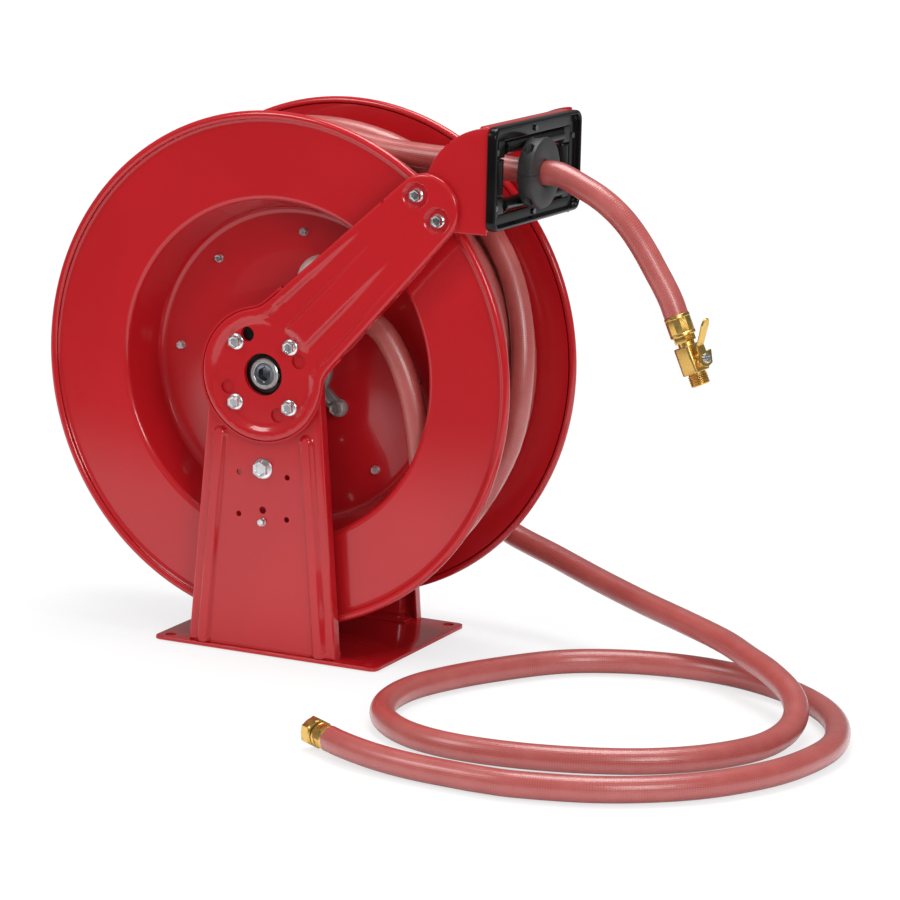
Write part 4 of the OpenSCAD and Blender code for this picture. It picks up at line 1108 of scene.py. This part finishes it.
class HOSEREEL_OT_winding(PieceOperator, bpy.types.Operator):
    """Winds the hose on the drum and leads it out to the guide"""
    bl_idname = "hosereel.winding"
    bl_label = "Wound hose"

    # Places along the outer turns: degrees round the drum, and millimetres along its axle
    keys = ((40, -22), (80, -22), (130, -30), (180, -34), (270, -34.5), (300, -33), (330, -19),
            (345, -3), (360, 3), (375, 16), (390, 27), (410, 27), (430, 23), (450, 14),
            (470, 8), (520, 6), (600, 8), (780, 8), (870, -34), (930, -66), (1060, -66),
            (1080, -63), (1100, -55), (1120, -50), (1140, -50), (1160, -53), (1190, -62),
            (1220, -66), (1300, -66))
    # The way from the drum through the guide to the stop, in millimetres
    run = ((18.3, -22.3, 581.4), (45.5, -22, 578), (64, -22, 574.6), (83, -22, 571.3),
           (93, -22, 569.8), (104, -21.7, 568.3), (116, -21.3, 567), (128, -21, 566),
           (141, -20.8, 565.2), (155, -20.5, 564.4), (182, -20, 563.2), (210, -19.5, 561.5),
           (235, -19, 559.6), (256, -18.5, 558), (276, -18, 557), (294, -18, 557))

    def at(self, s, r, a, y):
        a = math.radians(a)
        return (r * math.cos(a), y, s["axle"] + r * math.sin(a))

    def build(self, s):
        top, low = s["wind_r"], s["wind_r"] - 2 * s["hose_r"]
        turns, layers, start = 6, [], 230
        for a in range(start, start + 360 * turns - 50, 5):
            turn, phase = divmod(a - start, 360)
            layers.append(self.at(s, low, a, -70 + 28 * (turn + smooth(310, 360, phase))))
        curve, _ = smooth_path([(a, y, 0) for a, y in self.keys], 3.0)
        outer = []
        for a in range(40, 1231, 4):
            dive = (1 - smooth(40, 78, a) + smooth(560, 600, a) - smooth(890, 930, a)
                    + smooth(1195, 1230, a))
            outer.append(self.at(s, top - 40 * dive, a,
                                 float(np.interp(a, curve[:, 0], curve[:, 1]))))
        wound = Shape().tube(layers, s["hose_r"], 20).tube(outer, s["hose_r"], 28)
        wound.lathe([(197, -80), (low - 3, -80), (low - 3, 80), (197, 80)],
                    axle_frame(0, 0, s["axle"]), 96, closed=True)
        wound.piece("wound_hose", "drum", "hose", ("hose_core", "hose_winding"), sharp=60)
        run = Shape().tube(smooth_path(self.run, 5.0)[0], s["hose_r"] + 0.05)
        run.piece("running_hose", "frame", "hose", "hose_run", sharp=60)


class HOSEREEL_OT_guide(PieceOperator, bpy.types.Operator):
    """Makes the guide housing, its black frame and the four rollers"""
    bl_idname = "hosereel.guide"
    bl_label = "Hose guide"

    # Loops of rounded rectangles: half width, half height, corner radius, and place along X
    housing_rows = ((108.8, 56.2, 2.4, 257), (108.9, 56.3, 2.5, 264.8),
                    (108.5, 55.9, 2.2, 266.4), (107.2, 54.8, 2.0, 267.5),
                    (93.6, 40.6, 1.5, 267.5), (93.0, 40.0, 1.2, 267.1),
                    (93.0, 40.0, 1.2, 265.0), (106.2, 53.8, 1.6, 265.0),
                    (106.6, 54.0, 1.6, 264.2), (106.6, 54.0, 1.6, 257))
    bezel_rows = ((112.0, 55.0, 11.2, 267.6), (113, 56, 12, 268.6), (113, 56, 12, 274.4),
                  (112.6, 55.6, 11.8, 276.2), (111.4, 54.4, 10.8, 277.5),
                  (110.0, 53.4, 9.8, 278.0), (108.6, 52.2, 8.8, 277.9),
                  (107.6, 51.4, 8.3, 277.0), (107.2, 51.1, 8.1, 275.6),
                  (107.0, 51.0, 8.0, 272.2), (106.5, 50.5, 7.6, 271.5),
                  (93.6, 40.9, 3.0, 271.5), (92.5, 39.9, 2.4, 271.1),
                  (92.1, 39.5, 2.2, 270.2), (92.1, 39.5, 2.2, 267.6))

    def rect(self, w, h, r, x):
        """A loop of points round a rounded rectangle in the guide's plane."""
        w, h = w - r, h - r
        return [(x, y, z) for cy, cz, a in ((w, h, 0), (-w, h, 90), (-w, -h, 180), (w, -h, 270))
                for y, z in arc(cy, GUIDE_Z + cz, r, a, a + 90, 8)]

    def build(self, s):
        self.housing(s)
        self.bezel()
        self.rollers()

    def housing(self, s):
        shell = Shape()
        holes = [ring(x, z, SCREW_HOLE_R) for x, z in tip_screws(s)]
        for m, r in ((HERE, 82.5), (MIRROR_Y, 85.5)):
            ear = [(266.6, 497.2), (266.6, 529 + r)] + arc(273, 530, r, 96, 162, 22)
            ear += arc(198.4, 521.9, 33, 100, 226, 21) + [(178, 497.2)]
            pressed_sheet(shell, evenly(ear, 4), holes, lambda x, z: 0.0,
                          m @ front_plane(-POST_Y), rim=1.2, skirt=3, step=9, thick=2.3)
        shell.frame([self.rect(*row) for row in self.housing_rows], closed=True)
        shell.piece("guide_housing_steel", "frame", "paint", "guide_housing", sharp=30)

    def bezel(self):
        bezel = Shape().frame([self.rect(*row) for row in self.bezel_rows], closed=True)
        block = [(262.6, 75.9), (270.4, 75.9), (271.6, 77.3), (271.6, 92.3), (262.6, 92.3)]
        for side in (-1, 1):
            for z in (-39.8, 21):
                bezel.prism([(x, side * y) for x, y in block], 18.8, shift(z=GUIDE_Z + z),
                            1.2, 3)
        bezel.piece("guide_frame", "frame", "plastic", "guide_bezel", sharp=38)

    def rollers(self):
        """Rollers that lie across the guide, and shorter ones that stand at its sides."""
        for name, node, length, m in (
                ("top", "top_roller", 148, turned((267, -74, 588), (-90, "X"))),
                ("bottom", "bottom_roller", 148, turned((267, -74, 526), (-90, "X"))),
                ("front", "front_side_roller", 40, shift(265.5, -84, 537)),
                ("rear", "rear_side_roller", 40, shift(265.5, 84, 537))):
            half = [(2.56, 0), (6.2, 0), (7.6, 0.5), (8, 1.6), (7.7, 3.2)]
            profile = half + [(r, length - h) for r, h in half[::-1]]
            Shape().lathe(profile, m, 40, closed=True).piece(
                f"{name}_guide_roller", f"roller_{name}", "plastic", node)


class HOSEREEL_OT_stop(PieceOperator, bpy.types.Operator):
    """Makes the two-part stop that rests against the guide"""
    bl_idname = "hosereel.stop"
    bl_label = "Hose stop"

    def build(self, s):
        r, inner, slit, depth = s["stop_r"], s["hose_r"] + 0.3, 0.15, 60
        # Each half: the other half's place to cut off, the floor of its screw pockets
        for name, other, pocket in (("upper", GUIDE_Z - depth, 571),
                                    ("lower", GUIDE_Z - slit, 543 - depth)):
            half = Shape().lathe(
                [(inner, 0.6), (inner + 0.6, 0), (r - 3.5, 0), (r - 1, 0.8), (r, 3), (r, 15),
                 (r - 1, 17.2), (r - 3.5, 18), (inner + 3, 18), (inner + 1.5, 17.2),
                 (inner, 16)], turned((276, -18, GUIDE_Z), (90, "Y")), 96, closed=True)
            obj = half.piece(f"hose_stop_{name}", "frame", "rubber", f"stop_{name}", sharp=35)
            away = Shape().prism([(270, -80), (300, -80), (300, 44), (270, 44)], depth + slit,
                                 shift(z=other))
            for y in (-44, 8):
                away.prism(ring(0, 0, 5.9, 6, TAU / 12), depth, shift(285, y, pocket))
            if name == "upper":
                away.prism([(6.5 * x, 10.5 * y) for x, y in ring(0, 0, 1, 6)], 12,
                           shift(285, -18, 592.6))
            cut(obj, away)


class HOSEREEL_OT_outlet(PieceOperator, bpy.types.Operator):
    """Makes the outlet hose, its ferrule and the ball valve"""
    bl_idname = "hosereel.outlet"
    bl_label = "Outlet"

    def build(self, s):
        path, length = smooth_path([Vector(p) / MM for p in OUTLET_ROUTE], 4.0)
        hose = Shape().tube(path, s["hose_r"])
        cord = hose.piece("outlet_hose_cover", "frame", "hose", "outlet_hose", sharp=60)
        line = turned(OUTLET_END, (OUTLET_TILT, "Y"))
        ferrule = crimped(Shape(), line, 24, 14.3)
        ferrule.prism(ring(0, 0, 13, 6), 7, line @ shift(z=23.5), bevel=0.6)
        crimp = ferrule.piece("outlet_crimp", "frame", "brass", "outlet_ferrule", sharp=25)
        turn = Matrix.Rotation(math.radians(VALVE_TURN - 90), 4, "Z")
        stem = line @ shift(z=54) @ turn @ Matrix.Rotation(math.radians(90), 4, "X")
        valve = self.body(line, turn, stem)
        handle = self.lever(stem)
        top = self.screw(stem)

    def body(self, line, turn, stem):
        body = Shape().lathe([(0, 30.5), (9.2, 30.5), (9.2, 35), (0, 35)], line, 40)
        square = [(-11.5, -11.5, 3.2), (11.5, -11.5, 3.2), (11.5, 11.5, 3.2), (-11.5, 11.5, 3.2)]
        body.prism(rounded_outline(square, 2.0), 31, line @ turn @ shift(z=34.5), 1.4, 3)
        thread = [(0, 62), (9.6, 62), (9.6, 67)]
        for k in range(6):
            thread += [(r, h + 1.95 * k) for r, h in
                       ((9.8, 67.4), (10.8, 68.1), (10.8, 68.5), (9.8, 69.2))]
        body.lathe(thread + [(9.5, 79.4), (7.3, 79.4), (6.6, 78.4), (6.6, 50), (0, 50)],
                   line, 48)
        body.lathe([(0, 8), (7.5, 8), (7.5, 15.9), (7.0, 16.5), (4.1, 16.5), (4.1, 10), (0, 10)],
                   stem, 40)
        return body.piece("ball_valve_body", "frame", "brass", "valve_body")

    def lever(self, stem):
        """A bar with a stop nose at the stem, and a grip bent down from it."""
        lever = Shape()
        nose = [(6, -6, 2), (5, -17, 1), (-5, -17, 1), (-5.2, -7, 1.5), (-13.5, -8, 0.8),
                (-8.5, 6.5, 2), (0, 9.2, 5), (7, 7, 4), (9, 3, 3)]
        lever.prism(rounded_outline(nose, 1.0), 3, stem @ shift(z=16.8), bevel=0.6)
        grip = [(-4.8, 0.5, 0.8), (-5, -18, 3), (-5.6, -26, 3), (-3.5, -33.5, 3.2)]
        grip += [(-x, y, r) for x, y, r in grip[::-1]]
        lever.prism(rounded_outline(grip, 1.0), 3, stem @ turned((0, -16, 16.8), (-42, "X")),
                    bevel=0.7)
        return lever.piece("valve_lever_brass", "valve_handle", "brass", "valve_lever")

    def screw(self, stem):
        """A round head with a slot across it."""
        screw = Shape().lathe([(0, 12), (1.6, 12), (1.6, 20), (5.2, 20), (5.5, 20.5),
                               (5.3, 21.4), (0, 21.4)], stem, 32)
        for a in (0, 180):
            screw.prism(arc(0, 0, 5.2, a + 8, a + 162, 14), 2.2, stem @ shift(z=21), 0.8, 3)
        return screw.piece("lever_screw_head", "valve_handle", "zinc", "lever_screw")


class HOSEREEL_OT_inlet(PieceOperator, bpy.types.Operator):
    """Makes the swivel, the inlet hose on the floor and its coupling"""
    bl_idname = "hosereel.inlet"
    bl_label = "Inlet"

    def build(self, s):
        path, length = smooth_path([Vector(p) / MM for p in INLET_ROUTE], 7.0)
        hose = Shape().tube(path, s["hose_r"])
        cord = hose.piece("inlet_hose_cover", "frame", "hose", "inlet_hose", sharp=60)
        branch = turned((0, 150, s["axle"]), (BRANCH_TILT, "Y"))
        swivel = Shape().lathe(
            [(0, 151), (15.1, 151), (15.1, 126), (20.5, 126), (21.5, 127), (21.5, 131),
             (23, 133), (23, 160), (22, 163), (22, 169), (20, 172), (19, 175), (17.5, 176),
             (0, 176)], axle_frame(0, 0, s["axle"], 1))
        swivel.lathe([(0, 10), (17, 10), (17, 40), (16, 42), (0, 42)], branch, 48)
        swivel.prism(ring(0, 0, 20, 6), 10, branch @ shift(z=42), bevel=0.9)
        swivel.piece("inlet_swivel_brass", "frame", "brass", "inlet_swivel", sharp=40)
        start = crimped(Shape(), branch @ shift(z=52), 43, 15.6)
        first = start.piece("inlet_start_crimp", "frame", "brass", "inlet_start_ferrule")
        line = turned(INLET_END, (INLET_TURN, "Z"), (90, "Y"))
        ferrule = crimped(Shape(), line, 20, 13.6, flats=8)
        ferrule.lathe([(6.5, 18), (9, 18), (9, 24.2), (11.4, 24.2), (11.4, 27.2), (6.5, 27.2)],
                      line, 40, closed=True)
        crimp = ferrule.piece("inlet_crimp", "frame", "brass", "inlet_ferrule", sharp=25)
        coupling = self.nut(line)

    def nut(self, line):
        """A hexagon with a round collar at both ends, and rings for a thread in its bore."""
        hexagon, circle = hexagon_and_circle(16.2)
        rounds = [(9.1, 21.5), (13.2, 21.5), (14, 22.3), (14, 23.8)]
        bore = [(14.0, 37), (12.7, 37), (12.1, 36.4)]
        for k in range(5):
            bore += [(12.1, 35.6 - 2.0 * k), (11.4, 34.7 - 2.0 * k)]
        bore += [(12.0, 25.4), (12.0, 23.9), (9.1, 23.9)]
        loops = [level(circle, *k) for k in rounds]
        loops += [level(hexagon, 1, 24.6), level(hexagon, 1, 35.6)]
        loops += [level(circle, *k) for k in bore]
        return Shape().frame(loops, line, closed=True).piece(
            "coupling_nut_brass", "inlet_nut", "brass", "coupling_nut", sharp=30)


class HOSEREEL_OT_motor(PieceOperator, bpy.types.Operator):
    """Makes the spring case and its cover in the rear disc"""
    bl_idname = "hosereel.motor"
    bl_label = "Spring motor"

    def build(self, s):
        m = axle_frame(0, 0, s["axle"], 1)
        case = Shape().lathe(
            [(19.5, 34), (132, 34), (136, 35.5), (138, 39), (138, 82), (136, 82), (136, 40),
             (134, 37), (131, 36), (19.5, 36)], m, 128, closed=True)
        case.piece("spring_case_steel", "drum", "paint", "spring_case")
        cover = Shape().lathe(
            [(31, 82), (31, 84), (44, 84), (47, 85.2), (96, 85.2), (100, 84), (137, 84),
             (139.6, 83.2), (140.3, 81), (140.3, 74), (138.4, 74), (138.4, 80.5), (137, 82),
             (100, 82.2), (96, 83.4), (47, 83.4), (44, 82)], m, 128, closed=True)
        cover.piece("spring_cover_steel", "drum", "paint", "spring_cover", sharp=40)


class HOSEREEL_OT_finish(PieceOperator, bpy.types.Operator):
    """Gives the solid model's own small parts their finishes"""
    bl_idname = "hosereel.small_parts"
    bl_label = "Small parts"

    # The bearings take the black steel as painted shade: the real bearings are grey, and the
    # black darkens the gap round the shaft where they lie in shadow
    wear = {"front_bearing": "dark", "rear_bearing": "dark", "drum_band": "paint",
            "ratchet_wheel": "zinc", "latch_pawl": "zinc", "pawl_spacer": "zinc",
            "latch_spring": "spring", "cover_screws": "zinc", "power_spring": "spring",
            "spring_arbor": "cast", "bezel_screws": "spring", "roller_pins": "spring",
            "stop_screws": "zinc", "valve_ball": "zinc", "coupling_washer": "rubber"}

    def build(self, s):
        for node, finish in self.wear.items():
            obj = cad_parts[node]
            obj.data.materials.clear()
            obj.data.materials.append(FINISHES[finish])


class HOSEREEL_PT_panel(bpy.types.Panel):
    """Sizes, colours and steps of the hose reel"""
    bl_idname = "HOSEREEL_PT_panel"
    bl_label = "Hose Reel"
    bl_space_type = "VIEW_3D"
    bl_region_type = "UI"
    bl_category = "Hose Reel"

    def draw(self, context):
        for group in (context.scene.hose_reel_sizes, context.scene.hose_reel_colours):
            for name in group.__annotations__:
                self.layout.prop(group, name)
        for operator in STEPS:
            self.layout.operator(operator.bl_idname)


STEPS = (HOSEREEL_OT_stage, HOSEREEL_OT_outlet, HOSEREEL_OT_inlet, HOSEREEL_OT_base,
         HOSEREEL_OT_arms, HOSEREEL_OT_screws, HOSEREEL_OT_discs, HOSEREEL_OT_hub,
         HOSEREEL_OT_winding, HOSEREEL_OT_guide, HOSEREEL_OT_stop, HOSEREEL_OT_motor,
         HOSEREEL_OT_finish)
CLASSES = (HoseReelSizes, HoseReelColours, HOSEREEL_PT_panel) + STEPS


def register():
    for cls in CLASSES:
        bpy.utils.register_class(cls)
    bpy.types.Scene.hose_reel_sizes = PointerProperty(type=HoseReelSizes)
    bpy.types.Scene.hose_reel_colours = PointerProperty(type=HoseReelColours)


def unregister():
    del bpy.types.Scene.hose_reel_sizes
    del bpy.types.Scene.hose_reel_colours
    for cls in reversed(CLASSES):
        bpy.utils.unregister_class(cls)


def main():
    register()
    for step in STEPS:
        group, name = step.bl_idname.split(".")
        getattr(getattr(bpy.ops, group), name)()


if __name__ == "__main__":
    main()
